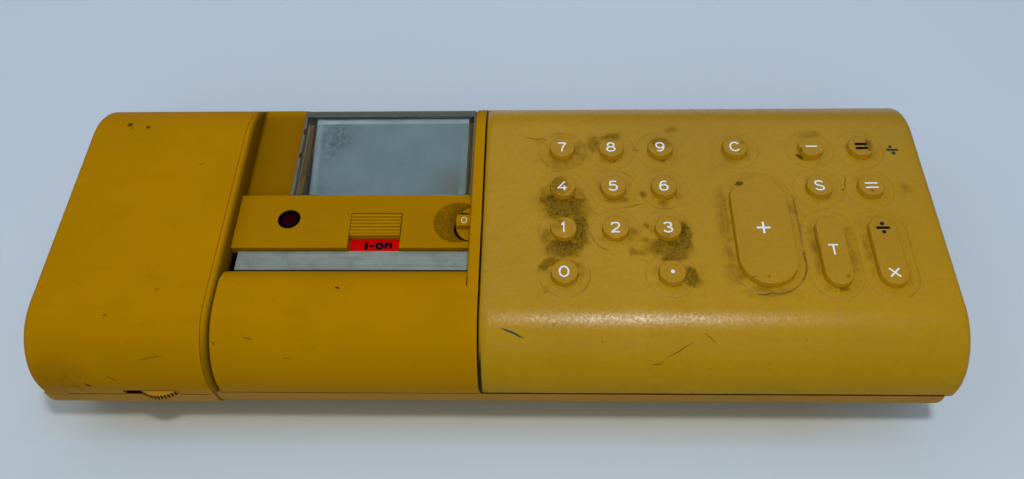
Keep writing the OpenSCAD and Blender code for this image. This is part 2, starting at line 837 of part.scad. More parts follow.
module switch_slider() {
  low = deck_z + flag_t + gap;
  rib_step = switch_d / (switch_ribs + 0.5);
  color(yellow) union() {
    span([switch_x0, switch_y0, low], [switch_x1, switch_y1, bar_z]);
    for (k = [0:switch_ribs - 1]) {
      y = switch_y0 + (k + 0.5) * rib_step;
      span([switch_x0, y, bar_z - weld], [switch_x1, y + rib_step / 2, bar_z + rib_h]);
    }
    span([stem_x0, stem_y1 - stem_d, stem_z], [stem_x0 + stem_w, stem_y1, low + weld]);
  }
}

module on_flag() {
  color("#d01616") difference() {
    span([switch_x0, bar_y0, deck_z], [switch_x1, switch_y1, deck_z + flag_t]);
    span([stem_x0 - gap, slot_y0, deck_z - 1], [stem_x0 + stem_w + gap, switch_y1 + 1, bar_z]);
  }
}

module switch_body() {
  wall = 2;
  top = deck_z - deck_t;
  color("#2b2b2d") difference() {
    span([stem_x0 - wall, slot_y0 - wall, top - switch_box_h],
      [stem_x0 + stem_w + wall, stem_y1 + wall, top]);
    span([stem_x0 - gap, slot_y0, stem_z - gap], [stem_x0 + stem_w + gap, stem_y1 + gap, top + 1]);
  }
}

module decimal_dial() {
  low = deck_z + gap;
  shaft_z = boss_z - dial_box_h / 2;
  color(yellow) translate([dial_x, dial_y, 0]) {
    translate([0, 0, low]) cylinder(h = bar_z - low, r = dial_r);
    intersection() {
      translate([0, 0, bar_z - weld]) cylinder(h = grip_h + weld, r = dial_r - gap);
      span([-dial_r, -grip_w / 2, bar_z - weld], [dial_r, grip_w / 2, bar_z + grip_h]);
    }
    translate([0, 0, shaft_z]) cylinder(h = low + weld - shaft_z, r = dial_shaft_r);
  }
}

module dial_switch() {
  color("#2b2b2d") translate([dial_x, dial_y, boss_z - dial_box_h]) difference() {
    cylinder(h = dial_box_h, r = dial_box_r);
    translate([0, 0, dial_box_h / 2 - gap]) cylinder(h = dial_box_h, r = dial_shaft_r + run_gap);
  }
}

// The window's outer side view: flat top with a bent rear edge
module window_outline(inset) {
  r = max(win_bend_r - inset, gap);
  y = win_y1 - inset - r;
  z = bar_z - inset - r;
  translate([win_y0, skirt_z]) square([y - win_y0, z + r - skirt_z]);
  translate([y - weld, skirt_z]) square([r + weld, z - skirt_z]);
  translate([y, z]) intersection() {
    circle(r);
    translate([-weld, -weld]) square(r + weld);
  }
}

module paper_window() {
  teeth = floor((win_w - 2 * win_t) / tooth_pitch);
  tooth_x0 = win_x0 + (win_w - teeth * tooth_pitch) / 2;
  color("#c9d6da", 0.5) difference() {
    union() {
      difference() {
        along_x(win_x0, win_x1) window_outline(0);
        along_x(win_x0 + win_t, win_x1 - win_t) window_outline(win_t);
        span([win_x0 + win_t, win_y0 - 1, skirt_z - 1], [win_x1 - win_t, win_y1 - win_t, lip_z + weld]);
        span([win_x0 + win_t, win_y1 - win_t - 1, skirt_z - 1], [win_x1 - win_t, win_y1 + 1, lip_z]);
      }
      for (x = [win_x0, win_x1 - win_t]) {
        rod_x(x, x + win_t, hinge_y, hinge_z, ear_r);
        span([x, hinge_y - ear_r, hinge_z], [x + win_t, hinge_y + ear_r, skirt_z + weld]);
      }
      rod_x(win_x0 - hinge_pin_l, win_x0 + win_t / 2, hinge_y, hinge_z, hinge_pin_r);
      rod_x(win_x1 - win_t / 2, win_x1 + hinge_pin_l, hinge_y, hinge_z, hinge_pin_r);
    }
    along_y(win_y1 - 2 * win_t, win_y1 + 1) for (k = [0:teeth - 1]) {
      translate([tooth_x0 + k * tooth_pitch, lip_z - 1])
        polygon([[0, 0], [tooth_pitch, 0], [tooth_pitch / 2, 1 + tooth_d]]);
    }
  }
}

module paper_roll() {
  color("#b6bcbd") difference() {
    rod_x(paper_x0, paper_x1, roll_y, roll_z, roll_r);
    rod_x(paper_x0 - 1, paper_x1 + 1, roll_y, roll_z, spindle_r + run_gap);
  }
}

module roll_spindle() {
  color(steel) rod_x(side_l, side_x1, roll_y, roll_z, spindle_r);
}

// Paper path in side view: off the roll, round the platen, up under the window
function web_path() =
  let (
    run = [platen_y - roll_y, platen_z - roll_z],
    lower = atan2(run[1], run[0]) + acos((unroll_r - wrap_r) / norm(run)),
    end = [hinge_y - 2 * gap, bar_z - win_t - 2 * gap],
    rise = end - [platen_y, platen_z],
    upper = atan2(rise[1], rise[0]) + acos(wrap_r / norm(rise)),
    steps = 12
  )
  concat(
    [[roll_y, roll_z] + unroll_r * [cos(lower), sin(lower)]],
    [
      for (k = [0:steps])
        let (a = lower + (upper - lower) * k / steps)
        [platen_y, platen_z] + wrap_r * [cos(a), sin(a)]
    ],
    [end]
  );

// Point k of a path moved sideways by d
function beside(path, k, d) =
  let (
    a = path[max(k - 1, 0)],
    b = path[min(k + 1, len(path) - 1)],
    t = (b - a) / norm(b - a)
  )
  path[k] + d * [-t[1], t[0]];

module paper_web() {
  path = web_path();
  n = len(path);
  outer = [for (k = [0:n - 1]) beside(path, k, paper_t / 2)];
  inner = [for (k = [n - 1:-1:0]) beside(path, k, -paper_t / 2)];
  color("#b6bcbd") along_x(paper_x0, paper_x1) polygon(concat(outer, inner));
}

// One side plate of the printing mechanism, in side view
module side_outline() {
  polygon([
    [side_y0, floor_z],
    [side_y1, floor_z],
    [side_y1, roll_z + 2 * spindle_r],
    [roll_y - roll_r, side_top],
    [platen_y - platen_r, side_top],
    [side_y0, lead_z + carriage_motor_r]
  ]);
}

module printer_frame() {
  bottom_t = 1.5;
  shelf_z = motor_z - motor_flat;
  color(steel) difference() {
    union() {
      for (x = [side_l, side_r]) along_x(x, x + plate_side_t) side_outline();
      span([side_l, side_y0, floor_z], [side_x1, motor_y, floor_z + bottom_t]);
      span([motor_x1 - motor_l, motor_y - feed_motor_r / 2, shelf_z - bottom_t],
        [side_l + weld, motor_y + feed_motor_r / 2, shelf_z]);
    }
    rod_x(side_l - 1, side_x1 + 1, platen_y, platen_z, platen_shaft_r + run_gap);
    rod_x(side_l - 1, side_x1 + 1, roll_y, roll_z, spindle_r + peg_gap);
    rod_x(side_l - 1, side_x1 + 1, lead_y, lead_z, lead_r + run_gap);
    for (z = rod_z) rod_x(side_l - 1, side_x1 + 1, rod_y, z, rod_r + peg_gap);
  }
}

module platen_roller() {
  color("#2f2d2b") difference() {
    rod_x(paper_x0 - gap, paper_x1 + gap / 2, platen_y, platen_z, platen_r);
    rod_x(paper_x0 - 1, paper_x1 + 1, platen_y, platen_z, platen_shaft_r + peg_gap);
  }
}

module platen_shaft() {
  color(steel) rod_x(gear_x0 - gap, side_x1, platen_y, platen_z, platen_shaft_r);
}

module platen_gear() {
  color("#d8d2c2") difference() {
    translate([0, platen_y, platen_z]) along_x(gear_x0, gear_x0 + gear_t) {
      gear_outline(gear_teeth, -90);
    }
    rod_x(gear_x0 - 1, gear_x0 + gear_t + 1, platen_y, platen_z, platen_shaft_r + peg_gap);
  }
}

module feed_motor() {
  color(steel) difference() {
    intersection() {
      rod_x(motor_x1 - motor_l, motor_x1, motor_y, motor_z, feed_motor_r);
      span([motor_x1 - motor_l, motor_y - feed_motor_r, motor_z - motor_flat],
        [motor_x1, motor_y + feed_motor_r, motor_z + motor_flat]);
    }
    rod_x(motor_x1 - motor_l / 2, motor_x1 + 1, motor_y, motor_z, pinion_shaft_r + run_gap);
  }
}

module motor_pinion() {
  color("#c7a24a") union() {
    translate([0, motor_y, motor_z]) along_x(gear_x0, gear_x0 + gear_t) {
      gear_outline(pinion_teeth, 90 + 180 / pinion_teeth);
    }
    rod_x(motor_x1 - motor_l / 2 + gap, gear_x0 + gear_t, motor_y, motor_z, pinion_shaft_r);
  }
}

module print_carriage() {
  x1 = carriage_x0 + carriage_w;
  y1 = carriage_y0 + carriage_d;
  nose_half = 3;
  nose_in = 2;
  color("#34343a") difference() {
    union() {
      span([carriage_x0, carriage_y0, carriage_z0], [x1, y1, carriage_z0 + carriage_h]);
      span([carriage_x0 + nose_in, y1 - weld, platen_z - nose_half],
        [x1 - nose_in, carriage_y1, platen_z + nose_half]);
    }
    for (z = rod_z) rod_x(carriage_x0 - 1, x1 + 1, rod_y, z, rod_r + run_gap);
    rod_x(carriage_x0 - 1, x1 + 1, lead_y, lead_z, lead_r + gap);
  }
}

module guide_rods() {
  color(steel) for (z = rod_z) rod_x(side_l, side_x1, rod_y, z, rod_r);
}

module lead_screw() {
  color("#a88f56") rod_x(side_l - motor_l / 2, side_x1, lead_y, lead_z, lead_r);
}

module carriage_motor() {
  color(steel) difference() {
    rod_x(side_l - motor_l, side_l, lead_y, lead_z, carriage_motor_r);
    rod_x(side_l - motor_l / 2 - gap, side_l + 1, lead_y, lead_z, lead_r + run_gap);
  }
}

module keyboard_frame() {
  color("#4a4337") difference() {
    union() {
      difference() {
        along_x(x_skin, x_r - skin_in) section(skin_in, seam_z);
        along_x(x_skin - 1, x_r - frame_in) section(frame_in, seam_z - 1);
        for (k = keys) up(seam_z, body_top) key_outline(k, frame_ring);
        translate([dial_x, dial_y, seam_z]) cylinder(h = body_top, r = dial_r + 2 * gap);
      }
      intersection() {
        along_x(x_skin, x_r - skin_in) section(skin_in, seam_z);
        union() {
          for (p = keyboard_posts) {
            translate([p[0], p[1], seam_z]) cylinder(h = body_top, r = post_r);
          }
          for (x = [board_x0 + hanger_in, contact_x1 - hanger_in], s = [-1, 1]) {
            translate([x, s * (board_half - hanger_in), dome_z]) cylinder(h = body_top, r = hanger_r);
          }
        }
      }
    }
    for (p = keyboard_posts) {
      translate([p[0], p[1], 0]) cylinder(h = screw_low + screw_len + gap, r = screw_r + peg_gap);
    }
  }
}

module keyboard_skin() {
  color(skin_yellow) difference() {
    rounded_section(x_skin, x_r, 0, end_r);
    along_x(x_skin - 1, x_r - skin_t) section(skin_t, seam_z - 1);
    for (k = keys) {
      ring = k == k_plus ? plus_ring : crease_in;
      up(seam_z, body_top + 1) key_outline(k, gap);
      up(body_top - crease_d, body_top + 1) difference() {
        key_outline(k, ring + crease_w);
        key_outline(k, ring);
      }
    }
  }
}

module contact_board() {
  color("#5f7a3a") span([board_x0, -board_half, dome_z - board_t], [contact_x1, board_half, dome_z]);
}

module contact_domes() {
  dome_r = 3.6;
  color(steel) for (k = keys, p = plungers(k)) {
    translate([p[0], p[1], dome_z]) cylinder(h = dome_h, r1 = dome_r, r2 = plunger_r);
  }
}

module logic_board() {
  low = floor_z + standoff_h;
  color("#5f7a3a") span([board_x0, -board_half, low], [board_x1, board_half, low + board_t]);
}

module logic_chips() {
  chip = [9, 30, 3.4];
  chips = 5;
  can_r = 5;
  can_h = 11;
  top = floor_z + standoff_h + board_t;
  step = (board_x1 - board_x0) / (chips + 2);
  color("#26262a") union() {
    for (k = [1:chips]) {
      translate([board_x0 + k * step - chip[0] / 2, -chip[1] / 2, top]) cube(chip);
    }
    for (s = [-1, 1]) {
      translate([board_x0 + (chips + 1) * step, s * 2 * can_r, top]) cylinder(h = can_h, r = can_r);
    }
  }
}

module power_socket() {
  color("#2b2b2d") difference() {
    plug_hole(x_bay0, x_bay0 + socket_l, socket_wall + gap);
    plug_hole(x_bay0 - 1, x_bay0 + socket_l + 1, gap);
  }
}

module module_cover() {
  color(yellow) difference() {
    rounded_section(x_l, x_mod, end_r, 0, mod_seam);
    along_x(x_l + shell_t, x_mod - shell_t) section(shell_t, mod_seam - 1);
    span([latch_x0 - latch_travel - gap, y_f - 1, mod_seam - 1],
      [latch_x1 + gap, y_f + 2 * shell_t, latch_z1 + gap]);
    bolt_hole(x_mod - shell_t - 1, x_mod + 1);
    plug_hole(x_mod - shell_t - 1, x_mod + 1, peg_gap);
  }
}

module module_base() {
  x0 = x_l + base_in;
  y0 = y_f + base_in;
  y1 = y_b - base_in;
  color(yellow) difference() {
    tray_solid(x0, x_mod, y0, y1, 0, mod_seam, true, false);
    tray_solid(x0, x_mod, y0, y1, tray_t, mod_seam + 1, true, false);
    for (s = [-1, 1]) {
      translate([module_foot_x, s * foot_y, 0]) cylinder(h = floor_z + 1, r = foot_peg_r + peg_gap);
    }
  }
}

module module_feet() {
  color("#3a3630") for (s = [-1, 1]) translate([module_foot_x, s * foot_y, 0]) foot();
}

module battery_cells() {
  tip_l = 1.5;
  tip_r = 2.8;
  color("#6d7f8c") for (k = [0:2]) {
    x = x_mod - tray_t - cell_r - cell_gap - k * (2 * cell_r + cell_gap);
    translate([x, cell_y0, floor_z + cell_r]) rotate([-90, 0, 0]) {
      cylinder(h = cell_l - tip_l, r = cell_r);
      cylinder(h = cell_l, r = tip_r);
    }
  }
}

module transformer() {
  yoke = 6;
  y1 = core_y0 + core_d;
  low = floor_z + yoke;
  top = floor_z + core_h;
  coil_half = core_l / 2 - yoke;
  mid = core_x0 + core_l / 2;
  color("#5b5f63") union() {
    span([core_x0, core_y0, floor_z], [core_x0 + core_l, y1, top]);
    span([mid - coil_half, core_y0 - coil_out, low], [mid + coil_half, y1 + coil_out, top - yoke]);
  }
}

module module_plug() {
  x1 = x_mod - shell_t;
  block_l = 5;
  color("#2b2b2d") union() {
    plug_hole(x1 - block_l, x1, socket_wall);
    plug_hole(x1 - weld, x_bay0 + plug_reach, 0);
  }
}

module release_latch() {
  half = asin(latch_w / 2 / latch_arc_r);
  notch_r = 0.4;
  color(yellow) difference() {
    union() {
      intersection() {
        translate([latch_x, latch_arc_y, latch_z0]) cylinder(h = latch_t, r = latch_arc_r);
        span([latch_x0, y_f - latch_out - 1, latch_z0], [latch_x1, latch_arm_y + latch_arm_d, latch_z1]);
      }
      span([latch_x0, latch_arm_y, latch_z0], [x_bl + latch_bolt, latch_arm_y + latch_arm_d, latch_z1]);
    }
    for (k = [0:latch_notches - 1]) {
      a = -90 - half + 2 * half * (k + 0.5) / latch_notches;
      translate([latch_x + latch_arc_r * cos(a), latch_arc_y + latch_arc_r * sin(a), latch_z0 - 1])
        cylinder(h = latch_t + 2, r = notch_r);
    }
  }
}

module key_0() { key(k_0); }
module key_1() { key(k_1); }
module key_2() { key(k_2); }
module key_3() { key(k_3); }
module key_4() { key(k_4); }
module key_5() { key(k_5); }
module key_6() { key(k_6); }
module key_7() { key(k_7); }
module key_8() { key(k_8); }
module key_9() { key(k_9); }
module key_point() { key(k_point); }
module key_clear() { key(k_clear); }
module key_minus() { key(k_minus); }
module key_result() { key(k_result); }
module key_sub() { key(k_sub); }
module key_equals() { key(k_equals); }
module key_plus() { key(k_plus); }
module key_total() { key(k_total); }
module key_ratio() { key(k_ratio); }

base_tray();
tray_feet();
base_screws();
printer_housing();
front_cover();
control_bar();
name_plate();
lamp_lens();
switch_slider();
on_flag();
switch_body();
decimal_dial();
dial_switch();
paper_window();
paper_roll();
roll_spindle();
paper_web();
printer_frame();
platen_roller();
platen_shaft();
platen_gear();
feed_motor();
motor_pinion();
print_carriage();
guide_rods();
lead_screw();
carriage_motor();
keyboard_frame();
keyboard_skin();
contact_board();
contact_domes();
logic_board();
logic_chips();
power_socket();
module_cover();
module_base();
module_feet();
battery_cells();
transformer();
module_plug();
release_latch();
key_0();
key_1();
key_2();
key_3();
key_4();
key_5();
key_6();
key_7();
key_8();
key_9();
key_point();
key_clear();
key_minus();
key_result();
key_sub();
key_equals();
key_plus();
key_total();
key_ratio();
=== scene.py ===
import json
import math

import bmesh
import bpy
from mathutils import Matrix, Vector, noise
from mathutils.geometry import delaunay_2d_cdt

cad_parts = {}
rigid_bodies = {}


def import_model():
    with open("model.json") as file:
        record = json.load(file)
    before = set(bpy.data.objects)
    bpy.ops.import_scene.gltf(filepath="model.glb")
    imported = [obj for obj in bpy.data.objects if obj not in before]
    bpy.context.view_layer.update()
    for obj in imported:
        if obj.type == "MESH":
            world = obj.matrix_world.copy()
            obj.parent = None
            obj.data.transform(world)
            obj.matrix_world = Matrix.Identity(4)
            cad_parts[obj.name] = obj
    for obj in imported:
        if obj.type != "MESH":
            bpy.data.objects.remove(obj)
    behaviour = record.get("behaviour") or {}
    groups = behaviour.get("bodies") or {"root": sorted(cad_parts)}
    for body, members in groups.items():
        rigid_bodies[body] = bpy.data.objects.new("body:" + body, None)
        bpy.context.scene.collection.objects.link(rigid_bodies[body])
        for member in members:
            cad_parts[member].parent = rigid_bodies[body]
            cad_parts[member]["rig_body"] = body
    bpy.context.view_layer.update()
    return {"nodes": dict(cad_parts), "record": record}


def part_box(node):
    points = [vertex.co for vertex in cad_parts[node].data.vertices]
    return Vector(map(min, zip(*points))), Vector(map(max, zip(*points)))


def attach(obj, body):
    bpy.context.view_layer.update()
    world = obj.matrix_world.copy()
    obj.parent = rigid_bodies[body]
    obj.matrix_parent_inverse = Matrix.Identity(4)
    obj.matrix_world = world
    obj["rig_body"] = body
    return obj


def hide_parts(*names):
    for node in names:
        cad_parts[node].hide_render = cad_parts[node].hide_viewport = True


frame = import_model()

bl_info = {
    "name": "Printing calculator",
    "version": (1, 0, 0),
    "blender": (4, 5, 0),
    "location": "View3D > Sidebar > Calculator",
    "description": "Dresses the solids of a desk printing calculator",
    "category": "Object",
}

MM = 0.001
SLOT_OF = {row["node"]: row["material_slot"] for row in frame["record"]["subparts"]}
KEYS = sorted(name for name in frame["nodes"] if name.startswith("key_"))

# Wear on the skin: place, half widths, turn in degrees and strength of each grimy patch, in millimetres
SKIN_GRIME = (
    (25.0, 20.5, 5.9, 3.5, 0, 0.5), (31.9, 25.5, 2.3, 3.6, 0, 0.5), (18.1, 27.7, 2.8, 4.2, 0, 0.25),
    (25.1, 33.1, 4.2, 1.5, 0, 0.3), (36.4, 29.4, 1.8, 3.7, 0, 0.7), (43.3, 32.7, 2.8, 1.5, 0, 0.8),
    (42.7, 21.4, 1.8, 1.2, 0, 0.4), (65.3, 36.0, 1.9, 1.2, 0, 0.7), (61.0, 22.2, 1.6, 1.1, 0, 0.8),
    (24.3, 2.4, 7.1, 3.3, 0, 1.0), (18.6, 5.7, 1.6, 3.4, 0, 0.7), (30.5, 3.4, 2.2, 3.3, 0, 0.6),
    (26.0, -1.5, 6.6, 2.7, 0, 1.0), (30.6, -10.0, 2.4, 6.9, 0, 1.0), (24.8, -17.3, 5.5, 3.1, 0, 1.0),
    (18.9, -12.6, 1.3, 2.9, 0, 0.7), (19.7, -23.4, 4.0, 1.4, 35, 0.9), (30.2, -25.4, 1.7, 3.0, 0, 0.5),
    (25.2, -19.8, 3.4, 1.5, 0, 0.7), (18.8, -33.7, 1.0, 1.2, 0, 0.4), (36.8, 9.0, 1.8, 2.3, 0, 0.3),
    (44.1, 3.4, 4.0, 1.0, 0, 0.5), (53.5, 5.6, 1.2, 1.2, 0, 0.9), (60.7, 1.7, 1.7, 1.3, 0, 0.6),
    (66.2, 4.5, 1.1, 1.1, 0, 0.4), (49.0, -11.6, 2.4, 2.4, 0, 0.5), (49.2, -18.8, 1.7, 1.4, 0, 0.8),
    (52.7, -13.7, 1.3, 1.3, 0, 0.7), (53.7, -7.9, 0.8, 1.0, 0, 0.9), (66.8, -12.7, 1.9, 5.8, 0, 1.0),
    (60.5, -16.8, 5.5, 3.4, 0, 0.9), (62.3, -20.8, 4.0, 1.6, 0, 0.9), (67.4, -28.8, 2.0, 3.2, 0, 1.0),
    (84.9, 20.8, 3.3, 1.8, 0, 0.25), (117.0, 33.4, 3.4, 1.4, 0, 0.5), (111.4, 22.9, 1.2, 0.6, -45, 1.5),
    (131.4, 23.8, 2.2, 0.7, 0, 0.5),
    (80.4, -8.6, 1.8, 16.8, 0, 0.45), (81.3, -27.3, 3.0, 3.7, 0, 0.5), (117.0, -33.2, 1.7, 1.3, 0, 0.7),
    (110.2, -17.0, 1.6, 8.4, 0, 0.35), (122.6, -17.0, 1.4, 8.5, 0, 0.35), (127.6, -17.0, 1.2, 8.5, 0, 0.35),
    (92.8, -35.0, 8.0, 1.8, 0, 0.45), (106.6, 0.6, 3.2, 4.1, 0, 0.3), (145.5, 8.3, 1.6, 1.4, 0, 0.8),
)
# Wear on the key tops, in the same form
KEY_GRIME = (
    (23.4, 8.4, 2.7, 3.4, 0, 0.8), (23.6, -7.4, 0.8, 0.8, 0, 0.9), (22.9, -8.8, 1.5, 1.9, 0, 0.5),
    (60.7, 29.1, 3.2, 2.1, 0, 0.7), (42.9, 30.1, 2.3, 1.2, 0, 0.6), (63.9, 28.5, 1.8, 2.4, 0, 0.6),
    (60.0, -13.2, 1.1, 0.8, 0, 0.6), (87.3, 8.9, 1.5, 0.7, 0, 1.4), (97.0, -19.8, 1.0, 0.8, 0, 1.5),
    (84.9, -23.8, 0.8, 0.5, 0, 0.5), (136.6, 26.7, 1.1, 2.2, 0, 0.9), (133.6, 6.0, 0.6, 0.8, 0, 0.7),
    (90.9, 28.0, 0.8, 0.9, 0, 0.6), (118.3, -29.7, 0.7, 0.6, 0, 0.7), (92.4, -30.1, 0.6, 0.4, 0, 0.8),
    (87.7, -29.9, 0.7, 0.4, 0, 0.8), (111.9, 24.2, 0.5, 0.9, 0, 1.0),
)
# Arcs where the painted shade of the ring creases shows: from and to in degrees, seen from above, and
# strength. Then the degrees over which an arc fades, and the strength elsewhere
RING_ARCS = {
    "key_2": ((175, 265, 0.75), (265, 330, 0.35)), "key_0": ((185, 265, 0.5), (290, 385, 0.6)),
    "key_point": ((150, 215, 0.4), (240, 300, 0.3)), "key_5": ((20, 75, 0.6), (240, 310, 0.35)),
    "key_6": ((225, 300, 0.5),), "key_7": ((180, 240, 0.3), (300, 400, 0.3)), "key_8": ((330, 400, 0.3),),
    "key_1": ((150, 215, 0.35),), "key_9": ((100, 170, 0.25),), "key_plus": ((262, 380, 0.95),),
    "key_ratio": ((280, 400, 0.4),), "key_sub": ((320, 400, 0.3),), "key_total": ((250, 320, 0.3),),
}
RING_FADE = 18
RING_FAINT = 0.15

# Strokes of the signs, one high and centred: straight lines, smooth curves and oval loops
GLYPHS = {
    "0": (("loop", (0, 0), 0.37, 0.5),),
    "1": (("line", (-0.15, 0.26), (0.05, 0.5), (0.05, -0.5)),),
    "2": (("curve", (-0.33, 0.24), (-0.25, 0.43), (0, 0.5), (0.26, 0.42), (0.32, 0.22), (0.2, -0.02),
           (-0.06, -0.25), (-0.33, -0.5)), ("line", (-0.36, -0.5), (0.37, -0.5))),
    "3": (("curve", (-0.31, 0.34), (-0.19, 0.46), (0.01, 0.5), (0.24, 0.42), (0.29, 0.25), (0.19, 0.08),
           (-0.06, 0.03)),
          ("curve", (-0.06, 0.03), (0.23, -0.05), (0.34, -0.25), (0.24, -0.44), (0, -0.5), (-0.22, -0.45),
           (-0.34, -0.31))),
    "4": (("line", (0.2, 0.5), (-0.36, -0.22), (0.38, -0.22)), ("line", (0.16, 0.04), (0.16, -0.5))),
    "5": (("line", (0.3, 0.5), (-0.21, 0.5), (-0.28, 0.04)),
          ("curve", (-0.28, 0.04), (-0.12, 0.12), (0.1, 0.12), (0.3, -0.01), (0.34, -0.2), (0.23, -0.42),
           (0, -0.5), (-0.2, -0.46), (-0.35, -0.33))),
    "6": (("curve", (0.25, 0.42), (0.05, 0.5), (-0.17, 0.4), (-0.31, 0.14), (-0.34, -0.18)),
          ("loop", (0, -0.19), 0.34, 0.31)),
    "7": (("line", (-0.35, 0.5), (0.36, 0.5)), ("curve", (0.36, 0.5), (0.17, 0.2), (0.05, -0.12), (0, -0.5))),
    "8": (("loop", (0, 0.25), 0.28, 0.25), ("loop", (0, -0.24), 0.35, 0.26)),
    "9": (("curve", (-0.25, -0.42), (-0.05, -0.5), (0.17, -0.4), (0.31, -0.14), (0.34, 0.18)),
          ("loop", (0, 0.19), 0.34, 0.31)),
    "C": (("curve", (0.34, 0.3), (0.18, 0.46), (-0.03, 0.5), (-0.28, 0.38), (-0.4, 0.1), (-0.4, -0.1),
           (-0.28, -0.38), (-0.03, -0.5), (0.18, -0.46), (0.34, -0.3)),),
    "S": (("curve", (0.31, 0.35), (0.17, 0.47), (-0.05, 0.5), (-0.27, 0.42), (-0.33, 0.25), (-0.2, 0.07),
           (0.06, -0.02), (0.28, -0.12), (0.35, -0.27), (0.25, -0.44), (0, -0.5), (-0.21, -0.46),
           (-0.36, -0.32)),),
    "T": (("line", (-0.42, 0.5), (0.42, 0.5)), ("line", (0, 0.5), (0, -0.5))),
    "o": (("loop", (0, 0), 0.52, 0.5),),
    "n": (("line", (-0.42, 0.5), (-0.42, -0.5)),
          ("curve", (-0.42, 0.18), (-0.25, 0.43), (0.02, 0.5), (0.3, 0.38), (0.42, 0.1), (0.42, -0.2),
           (0.42, -0.5))),
}

# Cracks in the skin: both ends, along the body and over its side view, and width
CRACKS = (
    ((11.5, 32.3), (20.8, 31.4), 0.28), ((126.2, 14.2), (125.3, 8.0), 0.2),
    ((125.3, 8.0), (121.9, 7.3), 0.22), ((122.8, 4.9), (119.3, 0.6), 0.18),
    ((49.4, 26.4), (53.5, 26.0), 0.22), ((46.6, -0.4), (53.7, 1.7), 0.2),
    ((104.8, -24.5), (96.0, -35.2), 0.3), ((96.0, -35.2), (88.0, -35.6), 0.26),
    ((131.0, 23.9), (135.0, 24.4), 0.3), ((58.0, -57.5), (66.5, -52.0), 0.2),
    ((70.0, -49.0), (74.0, -52.5), 0.16), ((53.0, -60.0), (57.0, -59.0), 0.25),
)
# Marks on the hard covers in the same form, with the piece's name, the node it lies on and its finish
COVER_MARKS = (
    ("module_tick", "module_cover", "crack shadow", (((-137.4, -69.3), (-136.0, -71.4), 0.8),)),
    ("module_marks", "module_cover", "faint smear", (
        ((-128.6, -43.5), (-127.2, -43.8), 0.8), ((-113.2, -33.8), (-111.7, -33.9), 0.6),
        ((-116.8, -59.0), (-108.5, -57.0), 0.5), ((-128.7, -65.4), (-125.4, -67.8), 0.45),
        ((-110.0, 20.0), (-107.8, 20.6), 0.5))),
    ("roll_marks", "front_cover", "faint smear", (
        ((-80.8, -50.8), (-77.5, -51.8), 0.6), ((-91.5, -52.2), (-90.4, -53.4), 0.6),
        ((-68.0, -57.8), (-65.0, -58.2), 0.4))),
    ("roll_speck", "front_cover", "crack shadow", (((-51.9, -33.0), (-50.5, -33.4), 0.8),)),
)
# Covers whose edges are softened: node, piece and finish
COVERS = (
    ("module_cover", "module_shell", "module plastic"),
    ("module_base", "module_tray", "module plastic"),
    ("printer_housing", "printer_shell", "bay plastic"),
    ("front_cover", "front_roll", "roll plastic"),
    ("base_tray", "main_tray", "tray plastic"),
    ("control_bar", "control_bar_soft", "bar plastic"),
    ("decimal_dial", "dial_knob", "dial plastic"),
)
# Finger scoop in the control bar: middle of its rim, radius of the ball that cuts it, and rise of the
# ball's centre over the bar
SCOOP = (-12.7, -2.7, 38.5)
SCOOP_BALL = 20.3
SCOOP_BALL_UP = 18.1
# Latch: half the width of its thumb arc, the arc's depth, and reach of its slot to the left and right
LATCH_HALF = 6.15
LATCH_OUT = 2.0
SLOT_LEFT = 12.2
SLOT_RIGHT = 6.2
# Dark seam lines: how far they stand out of the front face and reach into it
SEAM_OUT = 0.03
SEAM_IN = 0.43
# Keys: depth of the flange under the skin's top, ratio of length to width from which a key is long, radius
# of the flat middle of its top, and points round a round and a long key
FLANGE_DOWN = 3.5
LONG_FROM = 1.1
KEY_MIDDLE = 0.2
ROUND_POINTS = 64
LONG_POINTS = 96
# Letters and digits on the keys, and the ink and extra thickness of the two signs that are a pair of bars
SIGN_OF_KEY = {"key_%d" % k: str(k) for k in range(10)}
SIGN_OF_KEY.update(key_clear="C", key_sub="S", key_total="T")
TWO_BARS = {"key_equals": ("white print", 0.0), "key_result": ("black print", 0.55)}
# Places of the word on the flag and of the dial's sign
FLAG_Y = -11.2
DIAL_SIGN = (-10.2, -3.6)
# Softening of the small controls' edges and of the window's and the strip's
FINE_EDGE = 0.1 * MM
TRIM_EDGE = 0.15 * MM
# Ends of the module's seam, left end of the roll's, and front and back of the bridge in the rim
MODULE_SEAM = (-146.0, -96.5)
ROLL_SEAM_LEFT = -92.3
RIM_BRIDGE = (-34.0, -30.5)
# Paper margin: its front, how far it laps the paper and stands out beside it, and how far it falls in each
# millimetre forward of the paper's end
MARGIN_FRONT = 10.0
MARGIN_LAP = 0.8
MARGIN_OUT = 1.8
MARGIN_FALL = 0.165
# Middles of the specks on the window, ends of the ink stroke on the skin, and middle of the worn sign
WINDOW_SPECKS = ((-74.5, 40.2), (-74.5, 28.5))
INK_STROKE = ((4.0, -47.5), (11.4, -50.8))
WORN_SIGN = (145.6, 25.9)
# Lamps: name, place in metres, width, depth, watts and whether gloss shows them
LAMPS = (
    ("main", (0.15, -0.083, 1.04), 0.1, 0.14, 4.4, True),
    ("sky", (-0.3, 0.75, 0.95), 2.4, 0.9, 4.0, True),
    ("front fill", (0.05, -1.0, 0.7), 0.9, 0.6, 3.0, False),
    ("left fill", (-0.9, -0.1, 0.6), 0.8, 0.6, 0.7, False),
)
LAMP_COLOUR = (1.0, 0.98, 0.95)
SKY_COLOUR = (0.88, 0.94, 1.0, 1)
SKY_STRENGTH = 0.3
